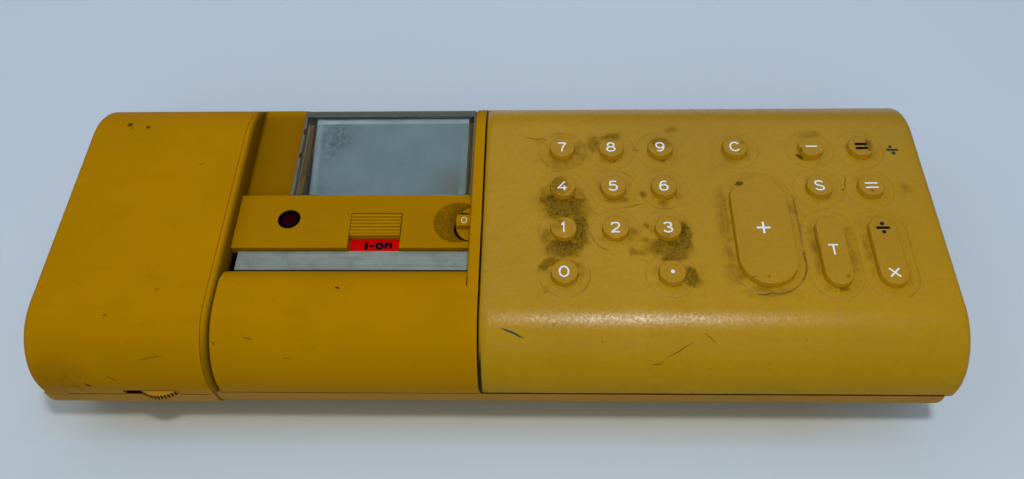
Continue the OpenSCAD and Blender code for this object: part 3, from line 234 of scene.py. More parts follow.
# Camera, solved from the body's outline: place in millimetres, axes, focal length and sensor width
CAMERA_PLACE = Vector((17.044, -183.217, 294.631))
CAMERA_RIGHT = Vector((0.99945731, 0.01823705, -0.02743163))
CAMERA_UP = Vector((0.00032242, 0.82730418, 0.56175412))
CAMERA_AHEAD = Vector((-0.03293904, 0.5614581, -0.82684933))
CAMERA_FOCAL = 30.69
CAMERA_SENSOR = 36


def linear(red, green, blue):
    """Linear colour of a screen colour given in parts of 255."""
    parts = [c / 255 for c in (red, green, blue)]
    return tuple(c / 12.92 if c <= 0.04045 else ((c + 0.055) / 1.055) ** 2.4 for c in parts)


def colour(name, description, *screen):
    """A colour that the user can change."""
    return bpy.props.FloatVectorProperty(
        name=name, description=description, subtype="COLOR", size=3, min=0, max=1, default=linear(*screen))


def length(name, description, millimetres):
    """A length that the user can change."""
    return bpy.props.FloatProperty(
        name=name, description=description, subtype="DISTANCE", unit="LENGTH",
        default=millimetres * MM, precision=5)


class CalculatorColours(bpy.types.PropertyGroup):
    """Colours of the calculator's finishes."""
    ochre: colour("Ochre", "Hard plastic of the covers and trays", 164, 118, 0)
    skin: colour("Skin", "Soft skin over the keyboard", 170, 131, 15)
    key: colour("Key", "Soft keys", 166, 126, 15)
    # The grime colour also carries the painted shade round the keys' feet.
    grime: colour("Grime", "Dirt in the creases and round the keys", 46, 36, 6)
    white: colour("White print", "Signs on most keys", 214, 226, 232)
    black: colour("Black print", "Signs of the second function", 6, 7, 8)
    flag: colour("Flag", "Red flag of the switch", 196, 4, 2)
    lens: colour("Lens", "Dark red lamp lens", 34, 1, 8)
    strip: colour("Strip", "Bare silver strip", 144, 158, 154)
    paper: colour("Paper", "Aluminised paper", 150, 172, 178)
    floor: colour("Floor", "Plain pale floor", 188, 204, 223)


class CalculatorSizes(bpy.types.PropertyGroup):
    """Sizes of the calculator's small forms."""
    edge: length("Edge", "Softening of the hard covers' edges", 0.25)
    nose: length("Nose radius", "Radius of the skin over the front edge", 22)
    back: length("Back radius", "Radius of the skin over the back edge", 25)
    end: length("End radius", "Rounding of the skin's right end", 2.5)
    wall: length("Skin wall", "Thickness of the skin", 1.9)
    crease: length("Crease", "Depth of the ring crease round a key", 0.07)
    crease_at: length("Crease place", "Distance of the ring crease from its key", 4.1)
    plus_crease: length("Plus crease place", "Distance of the ring crease from the plus key", 3.0)
    play: length("Play", "Room between a key and the skin", 0.05)
    flange: length("Flange", "Width of a key's flange under the skin", 1.8)
    draft: length("Draft", "Draft of a key's side", 0.1)
    round: length("Rounding", "Rounding of a key's top edge", 0.3)
    dish: length("Dish", "Hollow of a key's top", 0.1)
    sign: length("Sign height", "Height of the digits on the keys", 4.5)
    stroke: length("Sign stroke", "Width of the signs' lines", 0.59)
    print_up: length("Print", "Rise of the printed signs", 0.03)


def colours():
    return bpy.context.scene.calculator_colours


def sizes():
    return bpy.context.scene.calculator_sizes


class Recipe:
    """A material's shader nodes, read on Object coordinates, with layers of colour over a first tone."""

    def __init__(self, name, tone, **values):
        self.tone = tone
        self.material = bpy.data.materials.new(name)
        self.material.use_nodes = True
        self.tree = self.material.node_tree
        self.tree.nodes.clear()
        self.shader = self.tree.nodes.new("ShaderNodeBsdfPrincipled")
        out = self.tree.nodes.new("ShaderNodeOutputMaterial")
        self.tree.links.new(self.shader.outputs[0], out.inputs["Surface"])
        self.place = self.tree.nodes.new("ShaderNodeTexCoord").outputs["Object"]
        self.put(self.shader, values)

    def put(self, node, values):
        for key, value in values.items():
            socket = node.inputs[key] if isinstance(key, int) else node.inputs[key.replace("_", " ")]
            if isinstance(value, bpy.types.NodeSocket):
                self.tree.links.new(value, socket)
            elif socket.type == "RGBA":
                socket.default_value = (*value[:3], 1)
            else:
                socket.default_value = value

    def add(self, kind, values, **settings):
        node = self.tree.nodes.new("ShaderNode" + kind)
        for key, value in settings.items():
            setattr(node, key, value)
        self.put(node, values)
        return node

    def noise(self, scale, detail=4.0, rough=0.6, stretch=None):
        place = self.place
        if stretch:
            place = self.add("Mapping", {"Vector": place, "Scale": stretch}).outputs[0]
        return self.add("TexNoise", {
            "Vector": place, "Scale": scale, "Detail": detail, "Roughness": rough}).outputs[0]

    def span(self, value, low, high, bottom=0.0, top=1.0):
        """Value stretched from low..high to bottom..top and held there."""
        return self.add("MapRange", {
            "Value": value, "From Min": low, "From Max": high, "To Min": bottom, "To Max": top}).outputs[0]

    def mottle(self, scale, detail, rough, low, high, bottom=0.0, top=1.0, stretch=None):
        """Noise stretched from low..high to bottom..top."""
        return self.span(self.noise(scale, detail, rough, stretch), low, high, bottom, top)

    def reckon(self, operation, first, second=0.0):
        return self.add("Math", {0: first, 1: second}, operation=operation).outputs[0]

    def times(self, first, second):
        return self.reckon("MULTIPLY", first, second)

    def plus(self, first, second):
        return self.reckon("ADD", first, second)

    def most(self, first, second):
        return self.reckon("MAXIMUM", first, second)

    def layer(self, share, colour):
        """Lays a colour over the tone so far."""
        node = self.add("Mix", {}, data_type="RGBA")
        self.put(node, {0: share, 6: self.tone, 7: colour})
        self.tone = node.outputs[2]

    def attribute(self, name):
        return self.add("Attribute", {}, attribute_name=name).outputs["Fac"]

    def near(self, centre, inner, outer):
        """One inside the inner radius round a point, nought outside the outer one."""
        spot = tuple(v * MM for v in centre)
        apart = self.add("VectorMath", {0: self.place, 1: spot}, operation="DISTANCE")
        return self.span(apart.outputs["Value"], inner * MM, outer * MM, 1.0, 0.0)

    def axis(self, letter):
        return self.add("SeparateXYZ", {0: self.place}).outputs[letter]

    def along(self, letter, low, high, bottom=0.0, top=1.0):
        """Place along an axis, stretched from low..high millimetres to bottom..top."""
        return self.span(self.axis(letter), low * MM, high * MM, bottom, top)

    def band(self, letter, centre, inner, outer):
        """One within the inner distance of a plane across an axis, nought beyond the outer one."""
        apart = self.reckon("ABSOLUTE", self.reckon("SUBTRACT", self.axis(letter), centre * MM))
        return self.span(apart, inner * MM, outer * MM, 1.0, 0.0)

    def bump(self, height, strength, depth):
        node = self.add("Bump", {"Height": height, "Strength": strength, "Distance": depth * MM})
        self.put(self.shader, {"Normal": node.outputs[0]})

    def finish(self, **values):
        self.put(self.shader, dict(values, Base_Color=self.tone))
        return self.material


def box_of(node):
    """Lowest and highest corners of a CAD node at rest, in millimetres."""
    low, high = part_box(node)
    return low / MM, high / MM


def middle(low, high):
    """Middle of a box, from above."""
    return (low.x + high.x) / 2, (low.y + high.y) / 2


def body_of(node):
    """Name of the body that a CAD node rides on."""
    return frame["nodes"][node]["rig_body"]


def shade(tone, factor):
    return tuple(min(1.0, c * factor) for c in tone)


def ochre_plastic(name, level=1.0, bay=None, scoop=None, groove_shades=(), smudges=(), specks=()):
    """Hard moulded plastic: soft blotches, fine spark grain, dust and painted floor light low down, painted
    shade in grooves, bay and scoop, and stray marks.
    """
    base, grime = shade(colours().ochre, level), colours().grime
    make = Recipe(name, shade(base, 0.93), Specular_IOR_Level=0.015)
    make.layer(make.mottle(22, 3, 0.6, 0.3, 0.7), shade(base, 1.05))
    make.layer(make.mottle(60, 5, 0.7, 0.52, 0.75, 0.0, 0.22, (0.4, 1.6, 1.0)), shade(base, 0.66))
    # Paler and beiger low down: dust, and painted light bounced up from the floor.
    dust_and_floor_light = make.times(make.along("Z", 17, 26, 0.7, 0.0), make.mottle(90, 5, 0.7, 0.3, 0.7, 0.7, 1.0))
    make.layer(dust_and_floor_light, linear(172, 132, 66))
    if bay:
        # Painted shade in the bay: darker low on its deck, and on the bulkhead's inner wall across X at bay.
        deep = make.times(make.along("Z", 37, 44.5, 0.68, 0.0), make.along("Y", 50, 56, 1.0, 0.0))
        make.layer(deep, shade(base, 0.42))
        wall = make.times(make.band("X", bay, 0.3, 1.5), make.along("Z", 36, 45, 0.95, 0.65))
        make.layer(wall, shade(base, 0.35))
    # Painted shade in the grooves between parts: a dark band across X at each.
    for across, inner, outer, strength in groove_shades:
        make.layer(make.times(make.band("X", across, inner, outer), strength), shade(base, 0.08))
    make.layer(make.mottle(1500, 2, 0.4, 0.735, 0.79, 0.0, 0.75), grime)
    if scoop:
        # Darker in the finger scoop with speckle, darkest by the dial: dirt, and painted shade in the hollow.
        speckle = make.mottle(900, 5, 0.8, 0.36, 0.64, 0.35, 0.85)
        by_dial = make.times(make.near((-9, -2, 39), 4, 9), make.near(scoop, 8.8, 9.2))
        for share in (make.times(make.near(scoop, 8.5, 9.3), speckle), by_dial):
            make.layer(share, shade(base, 0.3))
    for centre, inner, outer, strength in smudges:
        ragged = make.mottle(320, 6, 0.75, 0.4, 0.62, 0.25 * strength, strength)
        make.layer(make.times(make.near(centre, inner, outer), ragged), grime)
    for centre, inner, outer, strength in specks:
        make.layer(make.times(make.near(centre, inner, outer), strength), linear(34, 36, 12))
    make.bump(make.noise(3200, 2), 0.12, 0.05)
    return make.finish(Roughness=make.mottle(180, 4, 0.6, 0.3, 0.7, 0.5, 0.66))


def soft_rubber(name, base, edge=None, side=None):
    """Soft skin: dirt film and speckle where the piece's attribute asks, with painted shade round the keys,
    in the ring creases, at the far end and in the left gap, painted light on key sides, and a fine grain.
    """
    make = Recipe(name, shade(base, 0.9), Specular_IOR_Level=0.3)
    make.layer(make.mottle(18, 4, 0.6, 0.3, 0.72), shade(base, 1.05))
    make.layer(make.mottle(420, 5, 0.7, 0.35, 0.75, 0.0, 0.2), shade(base, 0.62))
    make.layer(make.mottle(260, 4, 0.7, 0.5, 0.75, 0.0, 0.25, (0.12, 2.4, 1.0)), shade(base, 0.72))
    # Painted shade and painted sky reflection towards the right end and the back: darker, bluer and less
    # saturated there.
    far = make.times(make.along("X", 0, 155, 0.15, 0.6), make.along("Y", -30, 55))
    make.layer(far, (base[0] * 0.62, base[1] * 0.7, base[2] * 2.8))
    # Film and speckle of dirt from the grime attribute; round the key feet that attribute also holds painted
    # shade.
    grime = make.attribute("grime")
    coarse = make.mottle(300, 5, 0.7, 0.3, 0.7, -0.3, 0.2)
    ragged = make.plus(coarse, make.mottle(1100, 4, 0.85, 0.32, 0.68, -0.35, 0.3))
    film = make.span(make.plus(grime, ragged), 0.1, 0.85, 0.0, 0.56)
    make.layer(film, linear(80, 58, 2))
    speckle = make.plus(make.times(grime, 0.36), make.times(make.noise(1700, 4, 0.85), 1.2))
    dirt = make.span(speckle, 0.94, 1.06, 0.0, 0.8)
    make.layer(dirt, colours().grime)
    # Painted shade in the ring creases, as strong as the ring attribute asks.
    ring = make.times(make.attribute("ring"), make.mottle(240, 4, 0.6, 0.3, 0.62, 0.3, 1.0))
    make.layer(ring, shade(base, 0.25))
    # Painted shade in the gap at the skin's left edge: a thin dark line, wider low down.
    if edge is not None:
        wide = make.times(make.band("X", edge, 0.8, 1.1), make.along("Z", 36, 42, 1.0, 0.0))
        line = make.most(wide, make.band("X", edge, 0.25, 0.5))
        make.layer(make.times(line, 0.93), linear(14, 13, 6))
    # Painted light on the keys' sides: lighter below the top edge.
    if side is not None:
        make.layer(make.along("Z", side - 0.5, side - 0.25, 0.8, 0.0), shade(base, 1.45))
    make.layer(make.mottle(1300, 2, 0.4, 0.745, 0.79, 0.0, 0.7), colours().grime)
    make.bump(make.plus(make.noise(1500, 4, 0.7), make.times(dirt, 0.4)), 0.32, 0.07)
    dull = make.times(make.plus(dirt, film), 0.25)
    shine = make.times(make.span(film, 0, 0.6, 0.3, 0.06), make.along("Z", 34, 43, 0.12, 1.0))
    sparkle = make.mottle(1100, 3, 0.75, 0.42, 0.62, 0.4, 1.6)
    return make.finish(
        Roughness=make.plus(make.mottle(300, 5, 0.7, 0.3, 0.7, 0.25, 0.33), dull),
        Specular_IOR_Level=make.times(shine, sparkle))


def print_ink(name, base, wear=0.35):
    """Printed sign, a little worn."""
    make = Recipe(name, base, Roughness=0.6, Specular_IOR_Level=0.1)
    make.layer(make.mottle(1500, 4, 0.7, 0.62, 0.8, 0.0, wear), shade(colours().skin, 0.8))
    return make.finish()


def plain_finish(name, base, rough, metal=0.0, vary=0.12, grain=900, depth=0.02, stretch=None, specular=0.5):
    """A finish with blotches of tone and gloss and a grain of its own scale."""
    make = Recipe(name, shade(base, 1 - vary), Metallic=metal, Specular_IOR_Level=specular)
    make.layer(make.mottle(grain * 0.25, 4, 0.65, 0.3, 0.7, stretch=stretch), shade(base, 1 + vary))
    make.bump(make.noise(grain, 3, 0.6, stretch), 0.2, depth)
    return make.finish(Roughness=make.mottle(grain, 4, 0.6, 0.3, 0.7, rough - 0.08, rough + 0.08, stretch))


def silver_strip():
    """Brushed aluminium strip, dulled in blotches."""
    base = colours().strip
    make = Recipe("silver strip", shade(base, 0.82), Metallic=0.55, Specular_IOR_Level=0.4)
    brush = make.noise(400, 4, 0.7, (0.06, 2.2, 1.0))
    make.layer(make.span(brush, 0.32, 0.68), shade(base, 1.12))
    make.layer(make.mottle(150, 5, 0.7, 0.46, 0.7, 0.0, 0.6), shade(base, 0.6))
    make.layer(make.mottle(1100, 2, 0.6, 0.7, 0.76, 0.0, 0.7), colours().grime)
    make.bump(brush, 0.25, 0.03)
    return make.finish(Roughness=make.span(brush, 0.3, 0.7, 0.34, 0.5))


def silver_paper():
    """Aluminised paper: dull metal, mottled, with painted highlights along its left edge and along the bend
    near its end.
    """
    base = colours().paper
    make = Recipe("silver paper", shade(base, 0.85), Metallic=0.45, Specular_IOR_Level=0.3)
    make.layer(make.mottle(45, 5, 0.65, 0.3, 0.7), shade(base, 1.08))
    mottle = make.mottle(420, 6, 0.8, 0.42, 0.62)
    # Darker mottled patches towards the left of the paper.
    dark_patches = ((-62, 43, 36), 10, 0.8), ((-64, 35, 35), 9, 0.7), ((-67, 16, 30), 8, 0.5)
    for centre, reach, strength in dark_patches:
        patch = make.times(make.near(centre, 1, reach), strength)
        make.layer(make.times(patch, mottle), linear(58, 80, 86))
    make.layer(make.times(make.near((-16, 19, 30), 2, 12), 0.5), linear(130, 124, 70))
    patchy = make.mottle(90, 4, 0.6, 0.3, 0.6)
    # Painted highlights: a bright band along the bend near the paper's end and a fainter streak along its
    # left edge.
    for shine, top in ((make.band("Y", 46.8, 0.6, 1.2), 1.0), (make.band("X", -69.4, 0.2, 1.6), 0.35)):
        make.layer(make.times(shine, make.span(patchy, 0, 1, 0.55 * top, top)), linear(216, 234, 240))
    make.bump(make.noise(120, 5, 0.6), 0.3, 0.3)
    return make.finish(Roughness=make.span(mottle, 0, 1, 0.36, 0.5))


def clear_plastic():
    """Clear moulded window with handling haze, cloudy in its side walls and its rear lip, and a grey-blue
    band of painted shadow in front of the lip.
    """
    make = Recipe("clear plastic", (0.78, 0.84, 0.86), IOR=1.25, Specular_IOR_Level=0.4)
    low, high = box_of("paper_window")
    walls = make.most(make.band("X", low.x, 2.7, 3.2), make.band("X", high.x, 2.2, 2.7))
    # The rear band is a grey-blue painted shadow in front of the lip; the walls and the lip are cloudy tints.
    rear, lip = make.along("Y", 47.8, 48.4), make.along("Y", 49.0, 49.3)
    for share, tone in ((walls, (128, 124, 100)), (rear, (84, 116, 124)), (lip, (104, 104, 90))):
        make.layer(share, linear(*tone))
    sides = make.most(rear, walls)
    cloudy = make.plus(make.times(sides, 0.45), make.times(lip, 0.25))
    haze = make.mottle(160, 6, 0.75, 0.5, 0.75, 0.03, 0.2)
    make.bump(make.noise(60, 3), 0.12, 0.15)
    return make.finish(
        Transmission_Weight=make.reckon("SUBTRACT", 1.0, cloudy),
        Roughness=make.plus(haze, make.times(sides, 0.4)),
        Specular_IOR_Level=make.span(sides, 0, 1, 0.4, 0.05))


def circuit_board():
    """Board with a lacquer over its tracks."""
    make = Recipe("circuit board", linear(74, 96, 44), Roughness=0.4, Specular_IOR_Level=0.4)
    tracks = make.mottle(500, 1, 0.3, 0.52, 0.54, stretch=(1.0, 0.08, 1.0))
    make.layer(tracks, linear(122, 132, 62))
    make.bump(tracks, 0.3, 0.04)
    return make.finish()


def finishes():
    """Every finish, made once and kept by name."""
    if "ochre plastic" in bpy.data.materials:
        return bpy.data.materials
    tones = colours()
    bay_left, skin_left = box_of("front_cover")[0].x, box_of("keyboard_skin")[0].x
    ochre_plastic("ochre plastic")
    ochre_plastic("module plastic", smudges=(((-146, -57, 25), 2, 15, 0.42),), specks=(
        ((-141.5, 40.3, 44.5), 0.6, 1.5, 0.9), ((-134, 38.7, 44.8), 0.4, 1.2, 0.9),
        ((-140, 38, 44.8), 0.2, 0.9, 0.5)))
    ochre_plastic("bay plastic", bay=bay_left - 0.3, groove_shades=((skin_left, 0.25, 0.5, 0.5),))
    ochre_plastic("roll plastic", groove_shades=((bay_left, 0.35, 0.9, 0.95),))
    ochre_plastic("latch plastic", 1.2)
    # The bar and the dial are darker copies of the ochre: painted shade of the recess they sit in.
    ochre_plastic("bar plastic", 0.86, scoop=SCOOP)
    ochre_plastic("dial plastic", 0.86)
    ochre_plastic("tray plastic", 0.95)
    soft_rubber("soft skin", tones.skin, skin_left)
    soft_rubber("soft key", tones.key, side=box_of("key_0")[1].z)
    print_ink("white print", tones.white)
    print_ink("black print", tones.black, 0.0)
    print_ink("worn print", linear(34, 58, 44))
    print_ink("dial print", linear(196, 186, 138))
    plain_finish("flag red", tones.flag, 0.6, vary=0.06, grain=700, specular=0.02)
    plain_finish("lamp lens", tones.lens, 0.45, vary=0.35, grain=1500, specular=0.01)
    plain_finish("lamp ring", linear(3, 2, 3), 0.7, grain=1200, specular=0.01)
    plain_finish("gap shadow", linear(5, 5, 4), 0.9, grain=900, specular=0.01)
    plain_finish("seam shadow", linear(60, 34, 4), 0.9, vary=0.25, grain=400, specular=0.01)
    plain_finish("slot shadow", linear(34, 10, 3), 0.9, grain=900, specular=0.01)
    plain_finish("faint smear", shade(tones.ochre, 0.55), 0.8, vary=0.15, grain=1500, specular=0.02)
    plain_finish("crack shadow", linear(58, 44, 10), 0.8, vary=0.3, grain=1500, specular=0.1)
    plain_finish("ink stroke", linear(24, 62, 50), 0.6, vary=0.3, grain=1500)
    silver_strip()
    silver_paper()
    clear_plastic()
    circuit_board()
    plain_finish("steel", linear(150, 152, 154), 0.34, 1.0, grain=600, stretch=(1.0, 0.2, 1.0))
    plain_finish("brass", linear(176, 140, 70), 0.3, 1.0, grain=700)
    plain_finish("dark rubber", linear(44, 41, 37), 0.75, grain=1600, depth=0.05, specular=0.25)
    plain_finish("black plastic", linear(34, 34, 36), 0.5, grain=1500)
    plain_finish("gear plastic", linear(214, 208, 190), 0.45, grain=900)
    plain_finish("dark frame", linear(60, 54, 44), 0.6, grain=900)
    plain_finish("cell wrap", linear(86, 104, 118), 0.38, grain=400)
    plain_finish("core iron", linear(82, 85, 88), 0.45, 0.8, grain=800, stretch=(0.05, 0.05, 3.0))
    return bpy.data.materials


FINISH_OF_SLOT = {
    "yellow_plastic": "ochre plastic", "soft_skin": "soft skin", "soft_key": "soft key",
    "dark_frame": "dark frame", "clear_plastic": "clear plastic", "silver_strip": "silver strip",
    "lamp_red": "lamp lens", "flag_red": "flag red", "metal_paper": "silver paper", "steel": "steel",
    "brass": "brass", "dark_rubber": "dark rubber", "black_plastic": "black plastic",
    "gear_plastic": "gear plastic", "circuit_board": "circuit board", "cell_wrap": "cell wrap",
    "core_iron": "core iron",
}


def smooth(mesh, angle=35):
    mesh.polygons.foreach_set("use_smooth", [True] * len(mesh.polygons))
    mesh.set_sharp_from_angle(angle=math.radians(angle))


def add_piece(name, mesh, finish, body, replaced=()):
    """Links a mesh as a piece that rides on a body."""
    piece = bpy.data.objects.new(name, mesh)
    bpy.context.scene.collection.objects.link(piece)
    mesh.materials.clear()
    mesh.materials.append(finishes()[finish])
    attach(piece, body)
    if replaced:
        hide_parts(*replaced)
    return piece


def mesh_of(name, points, faces, angle=35, **layers):
    """A mesh from points in millimetres, with float layers on its points."""
    mesh = bpy.data.meshes.new(name)
    mesh.from_pydata([(x * MM, y * MM, z * MM) for x, y, z in points], [], faces)
    for key, values in layers.items():
        mesh.attributes.new(key, "FLOAT", "POINT").data.foreach_set("value", values)
    mesh.update()
    smooth(mesh, angle)
    return mesh


def add_shape(name, shape, finish, body, replaced=()):
    """Links points and faces in millimetres as a piece that rides on a body."""
    return add_piece(name, mesh_of(name, *shape), finish, body, replaced)


def welded(node):
    """A merged copy of a CAD node's mesh, as a bmesh."""
    work = bmesh.new()
    work.from_mesh(frame["nodes"][node].data)
    bmesh.ops.remove_doubles(work, verts=work.verts, dist=0.002 * MM)
    bmesh.ops.dissolve_limit(work, angle_limit=math.radians(0.4), verts=work.verts, edges=work.edges)
    return work


def dress(node, name, finish, width=None, angle=38):
    """A copy of a CAD node with softened edges, which stands for it."""
    work = welded(node)
    mesh = bpy.data.meshes.new(name)
    work.to_mesh(mesh)
    work.free()
    for stale in ("custom_normal", "sharp_face", "sharp_edge"):
        if stale in mesh.attributes:
            mesh.attributes.remove(mesh.attributes[stale])
    smooth(mesh)
    piece = add_piece(name, mesh, finish, body_of(node), (node,))
    soften = piece.modifiers.new("Soft edges", "BEVEL")
    soften.width = width or sizes().edge
    soften.segments = 2
    soften.limit_method = "ANGLE"
    soften.angle_limit = math.radians(angle)
    soften.use_clamp_overlap = True
    soften.harden_normals = True
    return piece


def islands(node):
    """Boxes of the separate solids in a CAD node, in millimetres."""
    work = welded(node)
    left = set(work.verts)
    boxes = []
    while left:
        todo, seen = [left.pop()], []
        while todo:
            vert = todo.pop()
            seen.append(vert.co / MM)
            for edge in vert.link_edges:
                other = edge.other_vert(vert)
                if other in left:
                    left.remove(other)
                    todo.append(other)
        boxes.append((Vector(map(min, *seen)), Vector(map(max, *seen))))
    work.free()
    return sorted(boxes, key=lambda box: tuple(box[0]))


def key_plan(node):
    """Centre, width and length of a key's foot, in millimetres."""
    low, high = box_of(node)
    around = 2 * sizes().flange / MM
    return *middle(low, high), high.x - low.x - around, high.y - low.y - around


def half_run(plan):
    """Half the straight run of a long key's sides, nought for a round key."""
    return max(plan[3] - plan[2], 0) / 2


def is_long(plan):
    return plan[3] > plan[2] * LONG_FROM


def ring_count(plan):
    return LONG_POINTS if is_long(plan) else ROUND_POINTS


def from_spine(plan, x, y):
    """Way to a point from the nearest place on a key's middle line."""
    half = half_run(plan)
    return x - plan[0], y - plan[1] - max(-half, min(half, y - plan[1]))


def key_distance(plan, x, y):
    """Distance of a point from a key's outline, less than nought inside it."""
    return math.hypot(*from_spine(plan, x, y)) - plan[2] / 2


def key_ring(plan, grow, count):
    """Points round a key's outline, grown by grow."""
    radius, half = plan[2] / 2 + grow, half_run(plan)
    points = []
    for k in range(count):
        turn = 2 * math.pi * (k + 0.5) / count
        shift = half if math.sin(turn) > 0 else -half
        points.append((plan[0] + radius * math.cos(turn), plan[1] + shift + radius * math.sin(turn)))
    return points


def held(value):
    """A value held between nought and one."""
    return max(0.0, min(1.0, value))


def ring_clarity(node, plan, x, y):
    """How strongly the painted shade of the ring crease round a key shows towards a point."""
    dx, dy = from_spine(plan, x, y)
    turn = math.degrees(math.atan2(dy, dx)) % 360
    clear = RING_FAINT
    for start, end, strength in RING_ARCS.get(node, ()):
        apart = abs((turn - (start + end) / 2 + 180) % 360 - 180)
        clear = max(clear, strength * held(((end - start) / 2 - apart) / RING_FADE))
    return clear


def grime_at(patches, x, y):
    """Strength of the grime at a point: the patches' sum with ragged borders."""
    total = 0.0
    ragged = 1 + 0.35 * noise.noise((x * 0.45, y * 0.45, 3.0)) + 0.25 * noise.noise((x * 1.2, y * 1.2, 9.0))
    for px, py, wide, deep, turn, strength in patches:
        dx, dy = x - px, y - py
        if abs(dx) + abs(dy) > 3 * (wide + deep):
            continue
        c, s = math.cos(math.radians(turn)), math.sin(math.radians(turn))
        far = math.hypot((dx * c + dy * s) / wide, (dy * c - dx * s) / deep) * ragged
        total = max(total, strength * held((1.7 - far) / 0.8))
    return total


class SkinShape:
    """The skin's side view: front face, nose arc, flat top and back arc, in millimetres."""

    def __init__(self):
        low, high = box_of("keyboard_skin")
        self.x0, self.x1 = low.x, high.x
        self.seam, self.top = low.z, high.z
        self.nose, self.back, self.end = (v / MM for v in (sizes().nose, sizes().back, sizes().end))
        self.front = low.y
        self.nose_y, self.nose_z = low.y + self.nose, high.z - self.nose
        self.back_y, self.back_z = high.y - self.back, high.z - self.back
        self.s0 = self.nose_y - self.nose * math.pi / 2 - (self.nose_z - self.seam)
        self.s1 = self.back_y + self.back * math.acos((self.seam - self.back_z) / self.back)
        self.t1 = self.x1 - self.end + self.end * math.pi / 2

    def point(self, t, s, lift=0.0):
        """Point at t along the body and s over the side view, lifted off the surface."""
        turn = max(0.0, t - self.x1 + self.end) / self.end
        x = min(t, self.x1 - self.end) + (self.end + lift) * math.sin(turn)
        inset = self.end - (self.end + lift) * math.cos(turn)
        if s < self.nose_y:
            arc = (self.nose_y - s) / self.nose
            if arc > math.pi / 2:
                return x, self.front + inset, self.nose_z - (arc - math.pi / 2) * self.nose
            reach = self.nose - inset
            return x, self.nose_y - reach * math.sin(arc), self.nose_z + reach * math.cos(arc)
        if s > self.back_y:
            arc = (s - self.back_y) / self.back
            reach = self.back - inset
            return x, self.back_y + reach * math.sin(arc), self.back_z + reach * math.cos(arc)
        return x, s, self.top - inset


def steps(low, high, step):
    count = max(1, round((high - low) / step))
    return [low + (high - low) * k / count for k in range(count + 1)]


def skin_mesh():
    """The skin's outer surface with a hole for every key."""
    shape = SkinShape()
    plans = {node: key_plan(node) for node in KEYS}
    play, crease = sizes().play / MM, sizes().crease / MM
    crease_at = {node: sizes().crease_at / MM for node in KEYS}
    crease_at["key_plus"] = sizes().plus_crease / MM
    near_foot = (play, 0.3, 0.7, 1.2, 1.8, 2.4)
    clear_of_keys, crease_wide, dome_up, wave_up = 5.2, 0.3, 0.08, 0.03
    near_crease = (-0.75, -0.5, -0.3, -0.15, 0.0, 0.15, 0.3, 0.5, 0.75)
    flat, edges = [], []

    def nearest(x, y):
        return min((key_distance(plan, x, y), node) for node, plan in plans.items())

    for node, plan in plans.items():
        count = ring_count(plan)
        for grow in near_foot + tuple(crease_at[node] + d for d in near_crease):
            ring = key_ring(plan, grow, count)
            if grow == play:
                first = len(flat)
                edges += [(first + k, first + (k + 1) % count) for k in range(count)]
                flat += ring
            else:
                flat += [p for p in ring if nearest(*p)[1] == node]
            if is_long(plan) and grow != play:
                half = half_run(plan)
                for y in steps(-half, half, 2.2)[1:-1]:
                    for side in (-1, 1):
                        flat.append((plan[0] + side * (plan[2] / 2 + grow), plan[1] + y))
    across = steps(shape.x0, shape.x1 - shape.end, 3.2) + steps(shape.x1 - shape.end, shape.t1, 0.6)[1:]
    over = steps(shape.s0, shape.nose_y, 1.5) + steps(shape.nose_y, shape.back_y, 2.4)[1:]
    over += steps(shape.back_y, shape.s1, 1.6)[1:]
    for t in across:
        for s in over:
            if nearest(t, s)[0] > clear_of_keys:
                flat.append((t, s))
    points, _, triangles, _, _, _ = delaunay_2d_cdt([Vector(p) for p in flat], edges, [], 0, 1e-5)
    solid, grime, ring = [], [], []
    for t, s in points:
        apart, node = nearest(t, s)
        at = crease_at[node]
        fold = math.exp(-((apart - at) / crease_wide) ** 2)
        dome = dome_up * max(0.0, 1 - (apart / at) ** 2)
        wave = wave_up * noise.noise((t * 0.07, s * 0.07, 0.0))
        solid.append(shape.point(t, s, wave + dome - crease * fold))
        # Grime attribute: dirt patches, plus dirt and painted shade round each key's foot. Ring attribute:
        # where the painted crease shade shows.
        ragged = max(0.0, 0.1 + 0.5 * noise.noise((t * 0.35, s * 0.35, 5.0)))
        grime.append(grime_at(SKIN_GRIME, t, s) + ragged * math.exp(-(apart / 2.6) ** 4))
        ring.append(ring_clarity(node, plans[node], t, s) * fold)
    faces = []
    for corners in triangles:
        t = sum(points[k][0] for k in corners) / 3
        s = sum(points[k][1] for k in corners) / 3
        if nearest(t, s)[0] > play * 0.5:
            faces.append(tuple(corners))
    end = [k for k, p in enumerate(points) if p[0] > shape.t1 - 1e-3]
    faces.append(tuple(sorted(end, key=lambda k: -points[k][1])))
    return mesh_of("keyboard_skin_soft", solid, faces, 40, grime=grime, ring=ring)


class CALCULATOR_OT_skin(bpy.types.Operator):
    """Builds the soft skin over the keyboard, with a crease round every key"""
    bl_idname = "calculator.skin"
    bl_label = "Keyboard skin"

    def execute(self, context):
        piece = add_piece(
            "keyboard_skin_soft", skin_mesh(), "soft skin", "case", ("keyboard_skin",))
        wall = piece.modifiers.new("Wall", "SOLIDIFY")
        wall.thickness = sizes().wall
        wall.offset = -1
        return {"FINISHED"}


